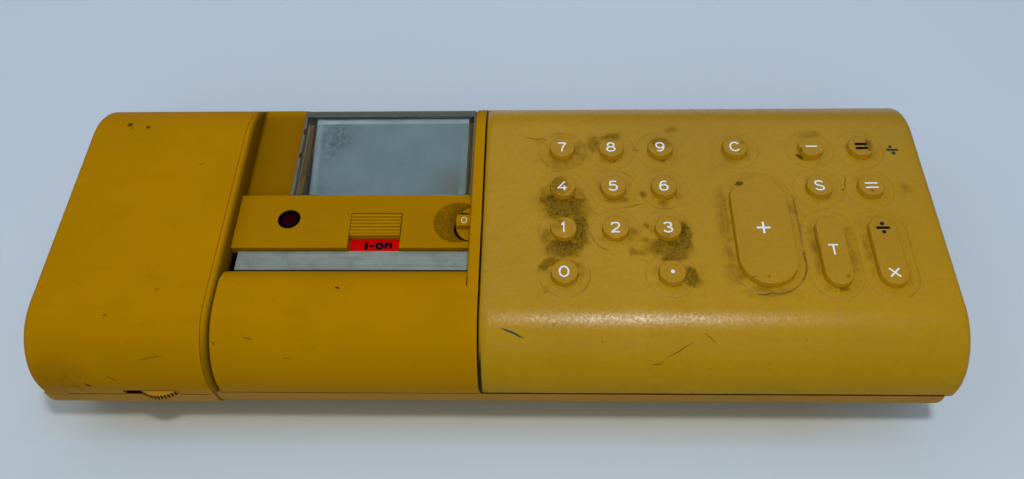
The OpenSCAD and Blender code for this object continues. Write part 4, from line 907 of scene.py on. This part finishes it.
def key_profile(low, high, plan):
    """Rings of a key from its flange up to the middle of its top: growth and height."""
    skin_top = SkinShape().top
    flange = sizes().flange / MM
    draft, edge, dish = (v / MM for v in (sizes().draft, sizes().round, sizes().dish))
    rings = [(flange - 0.2, low), (flange, low + 0.2), (flange, low + 1.0), (flange - 0.2, low + 1.2)]
    rings += [(0.25, low + 1.2), (0, low + 1.5), (0, skin_top), (-draft, high - edge)]
    for k in range(1, 6):
        turn = k / 5 * math.pi / 2
        rings.append((-draft - edge * (1 - math.cos(turn)), high - edge * (1 - math.sin(turn))))
    start = draft + edge
    for k in range(1, 9):
        share = k / 8
        inward = start + (plan[2] / 2 - start - KEY_MIDDLE) * share
        rings.append((-inward, high - dish * (1 - (1 - share) ** 2)))
    return rings


def top_of(plan, high, x, y):
    """Height of a key's dished top at a point."""
    start = (sizes().draft + sizes().round) / MM
    share = held((-key_distance(plan, x, y) - start) / (plan[2] / 2 - start - KEY_MIDDLE))
    return high - sizes().dish / MM * (1 - (1 - share) ** 2)


def loft(rings, count):
    """Faces between rings of equal count, closed at both ends."""
    faces = [tuple(reversed(range(count)))]
    for r in range(rings - 1):
        a, b = r * count, (r + 1) * count
        faces += [(a + k, a + (k + 1) % count, b + (k + 1) % count, b + k) for k in range(count)]
    faces.append(tuple((rings - 1) * count + k for k in range(count)))
    return faces


def turned(profile, x, y, count=48):
    """Points and faces of a shape turned round an upright axis, its profile from the bottom up."""
    points = []
    for radius, z in profile:
        for k in range(count):
            turn = 2 * math.pi * k / count
            points.append((x + radius * math.cos(turn), y + radius * math.sin(turn), z))
    return points, loft(len(profile), count)


def joined(parts):
    """Several lists of points and faces as one."""
    points, faces = [], []
    for more, sides in parts:
        faces += [tuple(k + len(points) for k in side) for side in sides]
        points += more
    return points, faces


def key_mesh(node):
    """A key with its flange under the skin and a plunger below, or one at each end of a long key."""
    plan, top = key_plan(node), SkinShape().top
    low, high = (corner.z for corner in box_of(node))
    flange_low, count, half = top - FLANGE_DOWN, ring_count(plan), half_run(plan)
    rings = key_profile(flange_low, high, plan)
    points = [(x, y, z) for grow, z in rings for x, y in key_ring(plan, grow, count)]
    parts = [(points, loft(len(rings), count))]
    stem = ((1.9, low), (2.2, low + 0.3), (2.2, flange_low + 0.1), (1.9, flange_low + 0.3))
    for shift in ((-half, half) if is_long(plan) else (0,)):
        parts.append(turned(stem, plan[0], plan[1] + shift, 24))
    points, faces = joined(parts)
    grime = []
    for x, y, z in points:
        # Dirt and painted shade at the key's foot where it meets the skin, and dirt patches on its top.
        foot = max(0.0, 1 - abs(z - top) / 0.5) * 0.12
        grime.append((grime_at(KEY_GRIME, x, y) if z > top + 1 else 0.0) + foot)
    return mesh_of(node + "_soft", points, faces, 50, grime=grime)


class CALCULATOR_OT_keys(bpy.types.Operator):
    """Builds the soft keys, each with its flange and plungers"""
    bl_idname = "calculator.keys"
    bl_label = "Keys"

    def execute(self, context):
        for node in KEYS:
            add_piece(node + "_soft", key_mesh(node), "soft key", node + "_body", (node,))
        return {"FINISHED"}


def prism(outline, low, high):
    """Points and faces of an upright prism on an outline."""
    count = len(outline)
    points = [(x, y, low) for x, y in outline] + [(x, y, high) for x, y in outline]
    return points, loft(2, count)


def block(x0, x1, y0, y1, z0, z1):
    """Points and faces of an upright block between two corners."""
    return prism([(x0, y0), (x1, y0), (x1, y1), (x0, y1)], z0, z1)


def strip_faces(count):
    """Faces of a strip whose points come in pairs across it."""
    return [(2 * k - 2, 2 * k - 1, 2 * k + 1, 2 * k) for k in range(1, count)]


def plate(outline):
    """An outline as a prism one high, which add_sign lays on its surface."""
    return prism(outline, 0, 1)


def bar(x, y, wide, deep):
    return [(x - wide / 2, y - deep / 2), (x + wide / 2, y - deep / 2),
            (x + wide / 2, y + deep / 2), (x - wide / 2, y + deep / 2)]


def dot(x, y, radius, count=28):
    return [(x + radius * math.cos(2 * math.pi * k / count), y + radius * math.sin(2 * math.pi * k / count))
            for k in range(count)]


def cross(x, y, reach, stroke, turn=0.0):
    a, b = reach / 2, stroke / 2
    corners = ((a, -b), (a, b), (b, b), (b, a), (-b, a), (-b, b),
               (-a, b), (-a, -b), (-b, -b), (-b, -a), (b, -a), (b, -b))
    c, s = math.cos(turn), math.sin(turn)
    return [(x + c * u - s * v, y + s * u + c * v) for u, v in corners]


def smooth_path(points, count=8):
    """Points of a smooth curve through the given ones."""
    ends = [points[0], *points, points[-1]]
    path = []
    for k in range(1, len(ends) - 2):
        a, b, c, d = (Vector(p) for p in ends[k - 1:k + 3])
        for n in range(count):
            t = n / count
            bend = (2 * a - 5 * b + 4 * c - d) * t * t + (3 * b - a - 3 * c + d) * t ** 3
            path.append(0.5 * (2 * b + (c - a) * t + bend))
    return path + [Vector(points[-1])]


def stroked(path, stroke, closed=False):
    """Points and faces of a line of even width drawn along a path."""
    points, last = [], len(path) - 1
    for k, spot in enumerate(path):
        before = path[k - 1] if k else (path[-2] if closed else None)
        after = path[k + 1] if k < last else (path[1] if closed else None)
        pairs = (before, spot), (spot, after)
        legs = [(b - a).normalized() for a, b in pairs if a is not None and b is not None]
        ahead = sum(legs, Vector((0, 0))).normalized()
        side = Vector((-ahead.y, ahead.x)) * (stroke / 2 / max(0.5, ahead.dot(legs[0])))
        for sign, z in ((1, 0), (-1, 0), (-1, 1), (1, 1)):
            points.append((spot.x + sign * side.x, spot.y + sign * side.y, z))
    return points, loft(len(path), 4)


def glyph(sign, x, y, tall, stroke, widen=1.0):
    """A sign drawn with lines of even width, centred on a point."""
    size, parts = tall - stroke, []

    def place(p):
        return Vector((x + p[0] * size * widen, y + p[1] * size))

    for kind, *points in GLYPHS[sign]:
        if kind == "loop":
            (cx, cy), wide, high = points
            turns = [2 * math.pi * k / 32 for k in range(33)]
            path = [place((cx + wide * math.cos(a), cy + high * math.sin(a))) for a in turns]
            parts.append(stroked(path, stroke, True))
        elif kind == "curve":
            parts.append(stroked(smooth_path([place(p) for p in points]), stroke))
        else:
            parts.append(stroked([place(p) for p in points], stroke))
    return parts


def add_sign(name, parts, height, finish, body):
    """A printed sign that follows the surface whose height is given."""
    points, faces = joined(parts)
    up = sizes().print_up / MM
    placed = [(x, y, height(x, y) + (up if z > 0.5 else -0.1)) for x, y, z in points]
    return add_piece(name, mesh_of(name, placed, faces, 30), finish, body)


def key_signs(node, plan):
    """Inks and shapes of the signs on a key."""
    x, y = plan[:2]
    stroke = sizes().stroke / MM
    if node in SIGN_OF_KEY:
        return [("white print", glyph(SIGN_OF_KEY[node], x - 0.2, y, sizes().sign / MM, stroke, 1.04))]
    if node == "key_point":
        return [("white print", [plate(dot(x, y, 0.7))])]
    if node == "key_minus":
        return [("white print", [plate(bar(x, y, 4.2, stroke))])]
    if node == "key_plus":
        return [("white print", [plate(cross(x, y, 4.7, stroke + 0.15))])]
    if node == "key_ratio":
        reach = half_run(plan)
        times = [plate(cross(x, y - reach, 4.7, stroke, math.pi / 4))]
        divide = [plate(bar(x, y + reach, 4.6, stroke + 0.5))]
        divide += [plate(dot(x, y + reach + up, 0.72)) for up in (1.7, -1.7)]
        return [("white print", times), ("black print", divide)]
    ink, thicker = TWO_BARS[node]
    return [(ink, [plate(bar(x, y + up, 4.4, stroke + thicker)) for up in (-0.95, 0.95)])]


class CALCULATOR_OT_signs(bpy.types.Operator):
    """Prints the digits and operators on the keys, the flag and the dial"""
    bl_idname = "calculator.signs"
    bl_label = "Signs"

    def execute(self, context):
        for node in KEYS:
            plan, high = key_plan(node), box_of(node)[1].z

            def height(x, y, plan=plan, high=high):
                return top_of(plan, high, x, y)

            for ink, parts in key_signs(node, plan):
                add_sign("%s_sign_%s" % (node, ink.split()[0]), parts, height, ink, node + "_body")
        flag_top, grip_top = box_of("on_flag")[1].z, box_of("decimal_dial")[1].z
        word = [plate(bar(-45.2, FLAG_Y, 1.3, 3.1)), plate(bar(-43.2, FLAG_Y, 1.6, 1.0))]
        word += glyph("o", -40.5, FLAG_Y, 3.2, 1.15) + glyph("n", -37.3, FLAG_Y, 3.2, 1.1)
        add_sign("flag_sign", word, lambda x, y: flag_top, "black print", "case")
        add_sign("dial_sign", glyph("0", *DIAL_SIGN, 2.8, 0.4), lambda x, y: grip_top, "dial print", "dial")
        return {"FINISHED"}


def add_dial_gap():
    """Dark crescent of painted shade in the finger scoop, round the left of the dial."""
    low, high = box_of("decimal_dial")
    hub, wide = Vector(middle(low, high)), (high.x - low.x) / 2
    ball_z = box_of("control_bar")[1].z + SCOOP_BALL_UP
    points, parts = [], 24
    for k in range(parts + 1):
        turn, thick = math.radians(150 + 4.5 * k), 0.1 + 0.65 * math.sin(math.pi * k / parts)
        for reach in (wide + 0.1, wide + 0.15 + thick):
            spot = hub + reach * Vector((math.cos(turn), math.sin(turn)))
            drop = max(0.0, SCOOP_BALL ** 2 - (spot - Vector(SCOOP[:2])).length_squared)
            points.append((*spot, ball_z - math.sqrt(drop) + 0.04))
    add_shape("dial_gap", (points, strip_faces(parts + 1)), "gap shadow", "case")


def add_latch_marks():
    """Painted shade in the notches of the latch's thumb arc, and a dark plate of painted shade in its slot.
    """
    low, high = box_of("release_latch")
    radius, centre = (LATCH_HALF ** 2 + LATCH_OUT ** 2) / (2 * LATCH_OUT), low.x + LATCH_HALF
    count, reach = 11, radius - 0.05
    parts = []
    for k in range(count):
        turn = math.asin(LATCH_HALF / radius) * (2 * (k + 0.5) / count - 1)
        spot = centre + reach * math.sin(turn), low.y + radius - reach * math.cos(turn)
        parts.append(prism(dot(*spot, 0.25, 12), low.z + 0.1, high.z - 0.02))
    add_shape("latch_notches", joined(parts), "seam shadow", body_of("release_latch"))
    left, right = centre - SLOT_LEFT, centre + SLOT_RIGHT
    slot = block(left, right, low.y + 2.1, low.y + 6, low.z - 0.28, low.z - 0.14)
    add_shape("latch_slot", slot, "slot shadow", body_of("module_cover"))


def add_seams():
    """Dark lines of painted shade under the skin, along the split of the module and under the front roll."""
    skin_low, skin_high = box_of("keyboard_skin")
    front, z = skin_low.y, skin_low.z
    seam = block(skin_low.x + 0.5, skin_high.x - 4.5, front - SEAM_OUT, front + SEAM_IN, z - 0.15, z + 0.75)
    add_shape("skin_seam", seam, "seam shadow", "case")
    module = box_of("module_cover")[0]
    latch = box_of("release_latch")[0].x + LATCH_HALF
    for name, node, z, left, right in (
        ("module_seam_left", "module_cover", module.z, MODULE_SEAM[0], latch - SLOT_LEFT - 0.4),
        ("module_seam_right", "module_cover", module.z, latch + SLOT_RIGHT + 0.4, MODULE_SEAM[1]),
        ("roll_seam", "front_cover", skin_low.z, ROLL_SEAM_LEFT, skin_low.x - 0.4),
    ):
        seam = block(left, right, module.y - SEAM_OUT, module.y + SEAM_IN, z - 0.1, z + 0.25)
        add_shape(name, seam, "seam shadow", body_of(node))


def add_rim_bridge():
    """Small bridge of plastic that closes the right rim in front of the strip."""
    skin_low, skin_high = box_of("keyboard_skin")
    left, right = box_of("control_bar")[1].x + 0.6, skin_low.x - 0.8
    bridge = block(left, right, *RIM_BRIDGE, skin_high.z - 0.3, skin_high.z + 0.015)
    add_shape("rim_bridge", bridge, "ochre plastic", "case")


class CALCULATOR_OT_covers(bpy.types.Operator):
    """Softens the edges of the hard covers, trays and controls, and paints shade into their seams and gaps"""
    bl_idname = "calculator.covers"
    bl_label = "Hard covers"

    def execute(self, context):
        for node, name, finish in COVERS:
            dress(node, name, finish)
        add_dial_gap()
        dress("switch_slider", "switch_thumb", "ochre plastic", FINE_EDGE)
        dress("release_latch", "latch_grip", "latch plastic", FINE_EDGE)
        add_latch_marks()
        add_seams()
        add_rim_bridge()
        return {"FINISHED"}


def add_paper_margin():
    """Strip beside the paper, which carries it to the width that shows in the window."""
    end, deck = box_of("paper_web")[1], box_of("control_bar")[0].z
    points = []
    for y in steps(MARGIN_FRONT, end.y, 2.0):
        z = max(deck + 0.06, end.z + 0.02 - MARGIN_FALL * (end.y - y))
        points += [(end.x - MARGIN_LAP, y, z), (end.x + MARGIN_OUT, y, z)]
    add_shape("paper_margin", (points, strip_faces(len(points) // 2)), "silver paper", "case")


def add_window_specks():
    """Two dark specks on the window's left edge."""
    pane = box_of("paper_window")[1].z
    oval = [(u * 0.45, v * 1.5) for u, v in dot(0, 0, 1, 12)]
    outlines = [[(x + u, y + v) for u, v in oval] for x, y in WINDOW_SPECKS]
    specks = [prism(outline, pane - 0.1, pane + 0.02) for outline in outlines]
    add_shape("window_specks", joined(specks), "crack shadow", body_of("paper_window"))


def add_strip_backing():
    """Dark sheet of painted shade on the floor of the gap round the silver strip."""
    strip_low, strip_high = box_of("name_plate")
    bar_low, cover_high = box_of("control_bar")[0], box_of("front_cover")[1]
    near, far = (strip_low.y + cover_high.y) / 2, (strip_high.y + bar_low.y) / 2
    gap_shade = block(bar_low.x, strip_high.x, near, far, strip_low.z, strip_low.z + 0.5)
    add_shape("strip_backing", gap_shade, "gap shadow", "case")


class CALCULATOR_OT_window(bpy.types.Operator):
    """Makes the clear paper window, the paper's margin and the silver strip"""
    bl_idname = "calculator.window"
    bl_label = "Window and strip"

    def execute(self, context):
        dress("paper_window", "window_pane", "clear plastic", TRIM_EDGE)
        dress("name_plate", "bare_strip", "silver strip", TRIM_EDGE)
        add_paper_margin()
        add_window_specks()
        add_strip_backing()
        return {"FINISHED"}


class CALCULATOR_OT_lamp(bpy.types.Operator):
    """Builds the lamp: a dark ring set in the bar and a domed red lens"""
    bl_idname = "calculator.lamp"
    bl_label = "Lamp"

    def execute(self, context):
        low, high = box_of("lamp_lens")
        x, y = middle(low, high)
        radius, top = (high.x - low.x) / 2, high.z
        inner = radius * 0.72
        ring = ((radius - 0.2, top - 2.6), (radius, top - 2.4), (radius, top + 0.05),
                (radius - 0.2, top + 0.25), (inner + 0.25, top + 0.25), (inner + 0.05, top + 0.05),
                (inner + 0.05, top - 0.9), (inner - 0.4, top - 1.0))
        add_shape("lamp_ring", turned(ring, x, y), "lamp ring", "case")
        dome = [(0.6, low.z), (2.3, low.z + 0.2), (2.3, top - 2.6), (inner, top - 2.4), (inner, top - 0.25)]
        for a in (0.25, 0.5, 0.75, 1.0, 1.25, 1.5):
            dome.append((inner * math.cos(a), top - 0.25 + 0.3 * math.sin(a)))
        add_shape("lamp_dome", turned(dome, x, y), "lamp lens", "case", ("lamp_lens",))
        return {"FINISHED"}


def ribbon(path, width, shape, lift=0.035):
    """Points and faces of a thin line drawn on the skin's side view, tapering to its ends."""
    points, last = [], len(path) - 1
    for k, (t, s) in enumerate(path):
        ahead = Vector(path[min(k + 1, last)]) - Vector(path[max(k - 1, 0)])
        side = Vector((-ahead.y, ahead.x)).normalized()
        half = width / 2 * (0.25 + 0.75 * math.sin(math.pi * (k + 0.3) / (last + 0.6)))
        for sign in (-1, 1):
            points.append(shape.point(t + sign * side.x * half, s + sign * side.y * half, lift))
    return points, strip_faces(len(path))


def wandering(start, end, count, sway, seed):
    """A slightly shaky path between two places on the skin."""
    path = []
    for k in range(count + 1):
        share = k / count
        shake = sway * noise.noise((share * 3.1 + seed, seed * 1.7, 0.5))
        dx, dy = end[0] - start[0], end[1] - start[1]
        size = math.hypot(dx, dy)
        path.append((start[0] + dx * share - dy / size * shake, start[1] + dy * share + dx / size * shake))
    return path


class CALCULATOR_OT_wear(bpy.types.Operator):
    """Draws the cracks, scratches, worn print and ink stroke on the skin and the covers"""
    bl_idname = "calculator.wear"
    bl_label = "Wear"

    def execute(self, context):
        shape = SkinShape()

        def lines(marks, count, sway, seed):
            return joined([ribbon(wandering(start, end, count, sway, seed + n), width, shape)
                           for n, (start, end, width) in enumerate(marks)])

        add_shape("skin_cracks", lines(CRACKS, 10, 0.5, 0), "crack shadow", "case")
        for name, node, finish, marks in COVER_MARKS:
            add_shape(name, lines(marks, 8, 0.3, 40), finish, body_of(node))
        stroke = wandering(*INK_STROKE, 10, 0.3, 21.0)
        add_shape("skin_ink", ribbon(stroke, 0.7, shape), "ink stroke", "case")
        x, y = WORN_SIGN
        outlines = bar(x, y, 4.2, 1.0), dot(x - 0.5, y + 1.5, 0.62), dot(x + 0.2, y - 1.5, 0.75)
        divide = [plate(outline) for outline in outlines]
        add_sign("worn_divide", divide, lambda px, py: shape.top, "worn print", "case")
        return {"FINISHED"}


def node_tree(name, inputs):
    """A Geometry Nodes tree with named inputs; returns the tree and its group input and output nodes."""
    tree = bpy.data.node_groups.new(name, "GeometryNodeTree")
    tree.interface.new_socket("Geometry", in_out="INPUT", socket_type="NodeSocketGeometry")
    for label, kind in inputs:
        tree.interface.new_socket(label, in_out="INPUT", socket_type=kind)
    tree.interface.new_socket("Geometry", in_out="OUTPUT", socket_type="NodeSocketGeometry")
    return tree, tree.nodes.new("NodeGroupInput"), tree.nodes.new("NodeGroupOutput")


def link(tree, *rows):
    """Joins sockets: each row names a node and its output, then a node and its input."""
    for source, out, target, into in rows:
        tree.links.new(source.outputs[out], target.inputs[into])


def close_tree(tree, made, source, out):
    """Ends a tree in Realize Instances and Set Material."""
    real = tree.nodes.new("GeometryNodeRealizeInstances")
    paint = tree.nodes.new("GeometryNodeSetMaterial")
    link(tree, (made, 0, real, 0), (real, 0, paint, "Geometry"),
         (source, "Finish", paint, "Material"), (paint, 0, out, 0))
    return tree


def parts_on_points_tree():
    """One part set on every point of the input."""
    tree, source, out = node_tree("Parts on points", (
        ("Part", "NodeSocketObject"), ("Size", "NodeSocketFloat"), ("Finish", "NodeSocketMaterial")))
    part = tree.nodes.new("GeometryNodeObjectInfo")
    spread = tree.nodes.new("GeometryNodeInstanceOnPoints")
    link(tree, (source, "Part", part, "Object"), (source, "Geometry", spread, "Points"),
         (part, "Geometry", spread, "Instance"), (source, "Size", spread, "Scale"))
    return close_tree(tree, spread, source, out)


def thread_tree():
    """A screw thread: a wire wound round an axis along X."""
    tree, source, out = node_tree("Screw thread", (
        ("Start", "NodeSocketVector"), ("Length", "NodeSocketFloat"), ("Turns", "NodeSocketFloat"),
        ("Radius", "NodeSocketFloat"), ("Wire", "NodeSocketFloat"), ("Finish", "NodeSocketMaterial")))
    wind = tree.nodes.new("GeometryNodeCurveSpiral")
    wind.inputs["Resolution"].default_value = 20
    wire = tree.nodes.new("GeometryNodeCurvePrimitiveCircle")
    wire.inputs["Resolution"].default_value = 6
    sweep = tree.nodes.new("GeometryNodeCurveToMesh")
    sweep.inputs["Fill Caps"].default_value = True
    lay = tree.nodes.new("GeometryNodeTransform")
    lay.inputs["Rotation"].default_value = (0, math.pi / 2, 0)
    link(tree, (source, "Turns", wind, "Rotations"), (source, "Radius", wind, "Start Radius"),
         (source, "Radius", wind, "End Radius"), (source, "Length", wind, "Height"),
         (source, "Wire", wire, "Radius"), (wind, 0, sweep, "Curve"), (wire, 0, sweep, "Profile Curve"),
         (sweep, 0, lay, "Geometry"), (source, "Start", lay, "Translation"))
    return close_tree(tree, lay, source, out)


def grown(name, points, tree, values):
    """The plain mesh that a tree makes from points in millimetres."""
    seed = bpy.data.meshes.new(name)
    seed.from_pydata([tuple(v * MM for v in p) for p in points], [], [])
    holder = bpy.data.objects.new(name, seed)
    bpy.context.scene.collection.objects.link(holder)
    grow = holder.modifiers.new("Grow", "NODES")
    grow.node_group = tree
    for item in tree.interface.items_tree:
        if item.in_out == "INPUT" and item.name in values:
            grow[item.identifier] = values[item.name]
    shown = holder.evaluated_get(bpy.context.evaluated_depsgraph_get())
    mesh = bpy.data.meshes.new_from_object(shown)
    bpy.data.objects.remove(holder)
    if not mesh.polygons:
        raise RuntimeError("the tree made nothing for " + name)
    smooth(mesh)
    return mesh


def screw_head_mesh():
    """A pan head with a cross recess, its face down."""
    work = bmesh.new()
    rim = [work.verts.new((x * MM, y * MM, 0)) for x, y in dot(0, 0, 2.6, 24)]
    slot = [work.verts.new((x * MM, y * MM, 0)) for x, y in cross(0, 0, 2.8, 0.7)]
    loops = []
    for ring in (rim, slot):
        loops += [work.edges.new((ring[k], ring[(k + 1) % len(ring)])) for k in range(len(ring))]
    bmesh.ops.triangle_fill(work, edges=loops, use_beauty=True)
    for face in work.faces:
        if face.normal.z > 0:
            face.normal_flip()
    deep = [work.verts.new((v.co.x * 0.8, v.co.y * 0.8, 1.1 * MM)) for v in slot]
    wide = [work.verts.new((v.co.x * 1.12, v.co.y * 1.12, 0.5 * MM)) for v in rim]
    tall = [work.verts.new((v.co.x * 1.12, v.co.y * 1.12, 1.6 * MM)) for v in rim]
    for lower, upper in ((slot, deep), (rim, wide), (wide, tall)):
        for k in range(len(lower)):
            n = (k + 1) % len(lower)
            work.faces.new((lower[k], lower[n], upper[n], upper[k]))
    work.faces.new(deep)
    work.faces.new(tall)
    bmesh.ops.recalc_face_normals(work, faces=work.faces)
    mesh = bpy.data.meshes.new("screw head")
    work.to_mesh(mesh)
    work.free()
    return mesh


def add_repeats(name, spots, tree, part_name, part_mesh):
    """Steel parts of one shape on points of the case."""
    part = bpy.data.objects.new(part_name, part_mesh)
    mesh = grown(name, spots, tree, {"Part": part, "Size": 1.0, "Finish": finishes()["steel"]})
    bpy.data.objects.remove(part)
    add_piece(name, mesh, "steel", "case")


def add_lead_thread():
    """Thread of the lead screw, from the carriage motor to near the screw's right end."""
    low, high = box_of("lead_screw")
    axis_y, axis_z, radius = (low.y + high.y) / 2, (low.z + high.z) / 2, (high.z - low.z) / 2
    left, pitch = box_of("carriage_motor")[1].x + 2.5, 1.25
    run = high.x - 3 - left
    mesh = grown("lead_thread", [(0, 0, 0)], thread_tree(), {
        "Start": (left * MM, axis_y * MM, axis_z * MM), "Length": run * MM, "Turns": run / pitch,
        "Radius": (radius - 0.12) * MM, "Wire": 0.22 * MM, "Finish": finishes()["brass"]})
    add_piece("lead_thread", mesh, "brass", "screw")


class CALCULATOR_OT_small_parts(bpy.types.Operator):
    """Grows the screw heads, chip legs and the lead screw's thread"""
    bl_idname = "calculator.small_parts"
    bl_label = "Screws, legs and thread"

    def execute(self, context):
        tree = parts_on_points_tree()
        spots = [(*middle(low, high), low.z - 0.02) for low, high in islands("base_screws")]
        add_repeats("screw_heads", spots, tree, "screw head", screw_head_mesh())
        spots, shortest_chip, leg_pitch = [], 20, 2.54
        for low, high in islands("logic_chips"):
            if high.y - low.y < shortest_chip:
                continue
            for y in steps(low.y + 1.8, high.y - 1.8, leg_pitch):
                spots += [(low.x - 0.5, y, low.z), (high.x + 0.5, y, low.z)]
        leg = mesh_of("chip leg", *prism(bar(0, 0, 1.1, 0.6), 0, 2.2))
        add_repeats("chip_legs", spots, tree, "chip leg", leg)
        add_lead_thread()
        return {"FINISHED"}


class CALCULATOR_OT_mechanism(bpy.types.Operator):
    """Gives every solid that still shows the finish of its slot"""
    bl_idname = "calculator.mechanism"
    bl_label = "Mechanism finishes"

    def execute(self, context):
        made = finishes()
        for node, solid in frame["nodes"].items():
            if solid.hide_render:
                continue
            for place in solid.material_slots:
                place.material = made[FINISH_OF_SLOT[SLOT_OF[node]]]
        return {"FINISHED"}


def pale_floor():
    """Pale floor with painted warmer light towards the front and a painted warm shadow and bounce light under
    the front edge, where the body tints it.
    """
    red, green, blue = base = colours().floor
    make = Recipe("pale floor", shade(base, 0.97), Roughness=0.6, Specular_IOR_Level=0.25)
    make.layer(make.mottle(3, 4, 0.6, 0.3, 0.7), shade(base, 1.03))
    # Painted warmer light towards the front.
    make.layer(make.along("Y", -100, 20, 0.6, 0.0), (red * 1.05, green * 0.99, blue * 0.84))
    # Painted warm shadow and light bounced from the body, under its front edge.
    near = make.times(make.band("Y", -45, 14, 27), make.band("X", -10, 120, 165))
    make.layer(make.times(near, 0.75), (red * 0.84, green * 0.64, blue * 0.32))
    make.bump(make.noise(300, 3), 0.05, 0.1)
    return make.finish()


def add_floor(scene, reach=4000):
    corners = [(-reach, -reach, 0), (reach, -reach, 0), (reach, reach, 0), (-reach, reach, 0)]
    mesh = mesh_of("floor", corners, [(0, 1, 2, 3)])
    mesh.materials.append(pale_floor())
    floor = bpy.data.objects.new("floor", mesh)
    scene.collection.objects.link(floor)


def add_lights(scene):
    world = bpy.data.worlds.new("studio")
    world.use_nodes = True
    sky = world.node_tree.nodes["Background"]
    sky.inputs["Color"].default_value = SKY_COLOUR
    sky.inputs["Strength"].default_value = SKY_STRENGTH
    world.cycles_visibility.glossy = False
    scene.world = world
    for name, place, wide, deep, watts, shines in LAMPS:
        lamp = bpy.data.lights.new(name, "AREA")
        lamp.shape = "RECTANGLE"
        lamp.size, lamp.size_y = wide, deep
        lamp.energy = watts
        lamp.color = LAMP_COLOUR
        holder = bpy.data.objects.new(name, lamp)
        holder.location = place
        holder.rotation_euler = (-Vector(place)).to_track_quat("-Z", "Y").to_euler()
        holder.visible_glossy = shines
        scene.collection.objects.link(holder)


def add_camera(scene):
    lens = bpy.data.cameras.new("camera")
    lens.sensor_fit = "HORIZONTAL"
    lens.sensor_width = CAMERA_SENSOR
    lens.lens = CAMERA_FOCAL
    camera = bpy.data.objects.new("camera", lens)
    turn = Matrix((CAMERA_RIGHT, CAMERA_UP, -CAMERA_AHEAD)).transposed().to_4x4()
    camera.matrix_world = Matrix.Translation(CAMERA_PLACE * MM) @ turn
    scene.collection.objects.link(camera)
    scene.camera = camera


class CALCULATOR_OT_stage(bpy.types.Operator):
    """Sets the pale floor, the soft light and the camera"""
    bl_idname = "calculator.stage"
    bl_label = "Floor, light and camera"

    def execute(self, context):
        context.scene.view_settings.view_transform = "Standard"
        add_floor(context.scene)
        add_lights(context.scene)
        add_camera(context.scene)
        return {"FINISHED"}


class CALCULATOR_PT_panel(bpy.types.Panel):
    """Lists the calculator's operators and values"""
    bl_label = "Calculator"
    bl_idname = "CALCULATOR_PT_panel"
    bl_space_type = "VIEW_3D"
    bl_region_type = "UI"
    bl_category = "Calculator"

    def draw(self, context):
        for step in ORDER:
            self.layout.operator(step.bl_idname)
        for group in (colours(), sizes()):
            for key in group.bl_rna.properties.keys():
                if key not in ("rna_type", "name"):
                    self.layout.prop(group, key)


ORDER = (
    CALCULATOR_OT_covers, CALCULATOR_OT_window, CALCULATOR_OT_lamp, CALCULATOR_OT_skin, CALCULATOR_OT_keys,
    CALCULATOR_OT_signs, CALCULATOR_OT_wear, CALCULATOR_OT_small_parts, CALCULATOR_OT_mechanism,
    CALCULATOR_OT_stage,
)
CLASSES = (CalculatorColours, CalculatorSizes, *ORDER, CALCULATOR_PT_panel)


def register():
    for kind in CLASSES:
        bpy.utils.register_class(kind)
    bpy.types.Scene.calculator_colours = bpy.props.PointerProperty(type=CalculatorColours)
    bpy.types.Scene.calculator_sizes = bpy.props.PointerProperty(type=CalculatorSizes)


def unregister():
    del bpy.types.Scene.calculator_sizes
    del bpy.types.Scene.calculator_colours
    for kind in reversed(CLASSES):
        bpy.utils.unregister_class(kind)


def main():
    register()
    for step in ORDER:
        group, name = step.bl_idname.split(".")
        getattr(getattr(bpy.ops, group), name)()


if __name__ == "__main__":
    main()
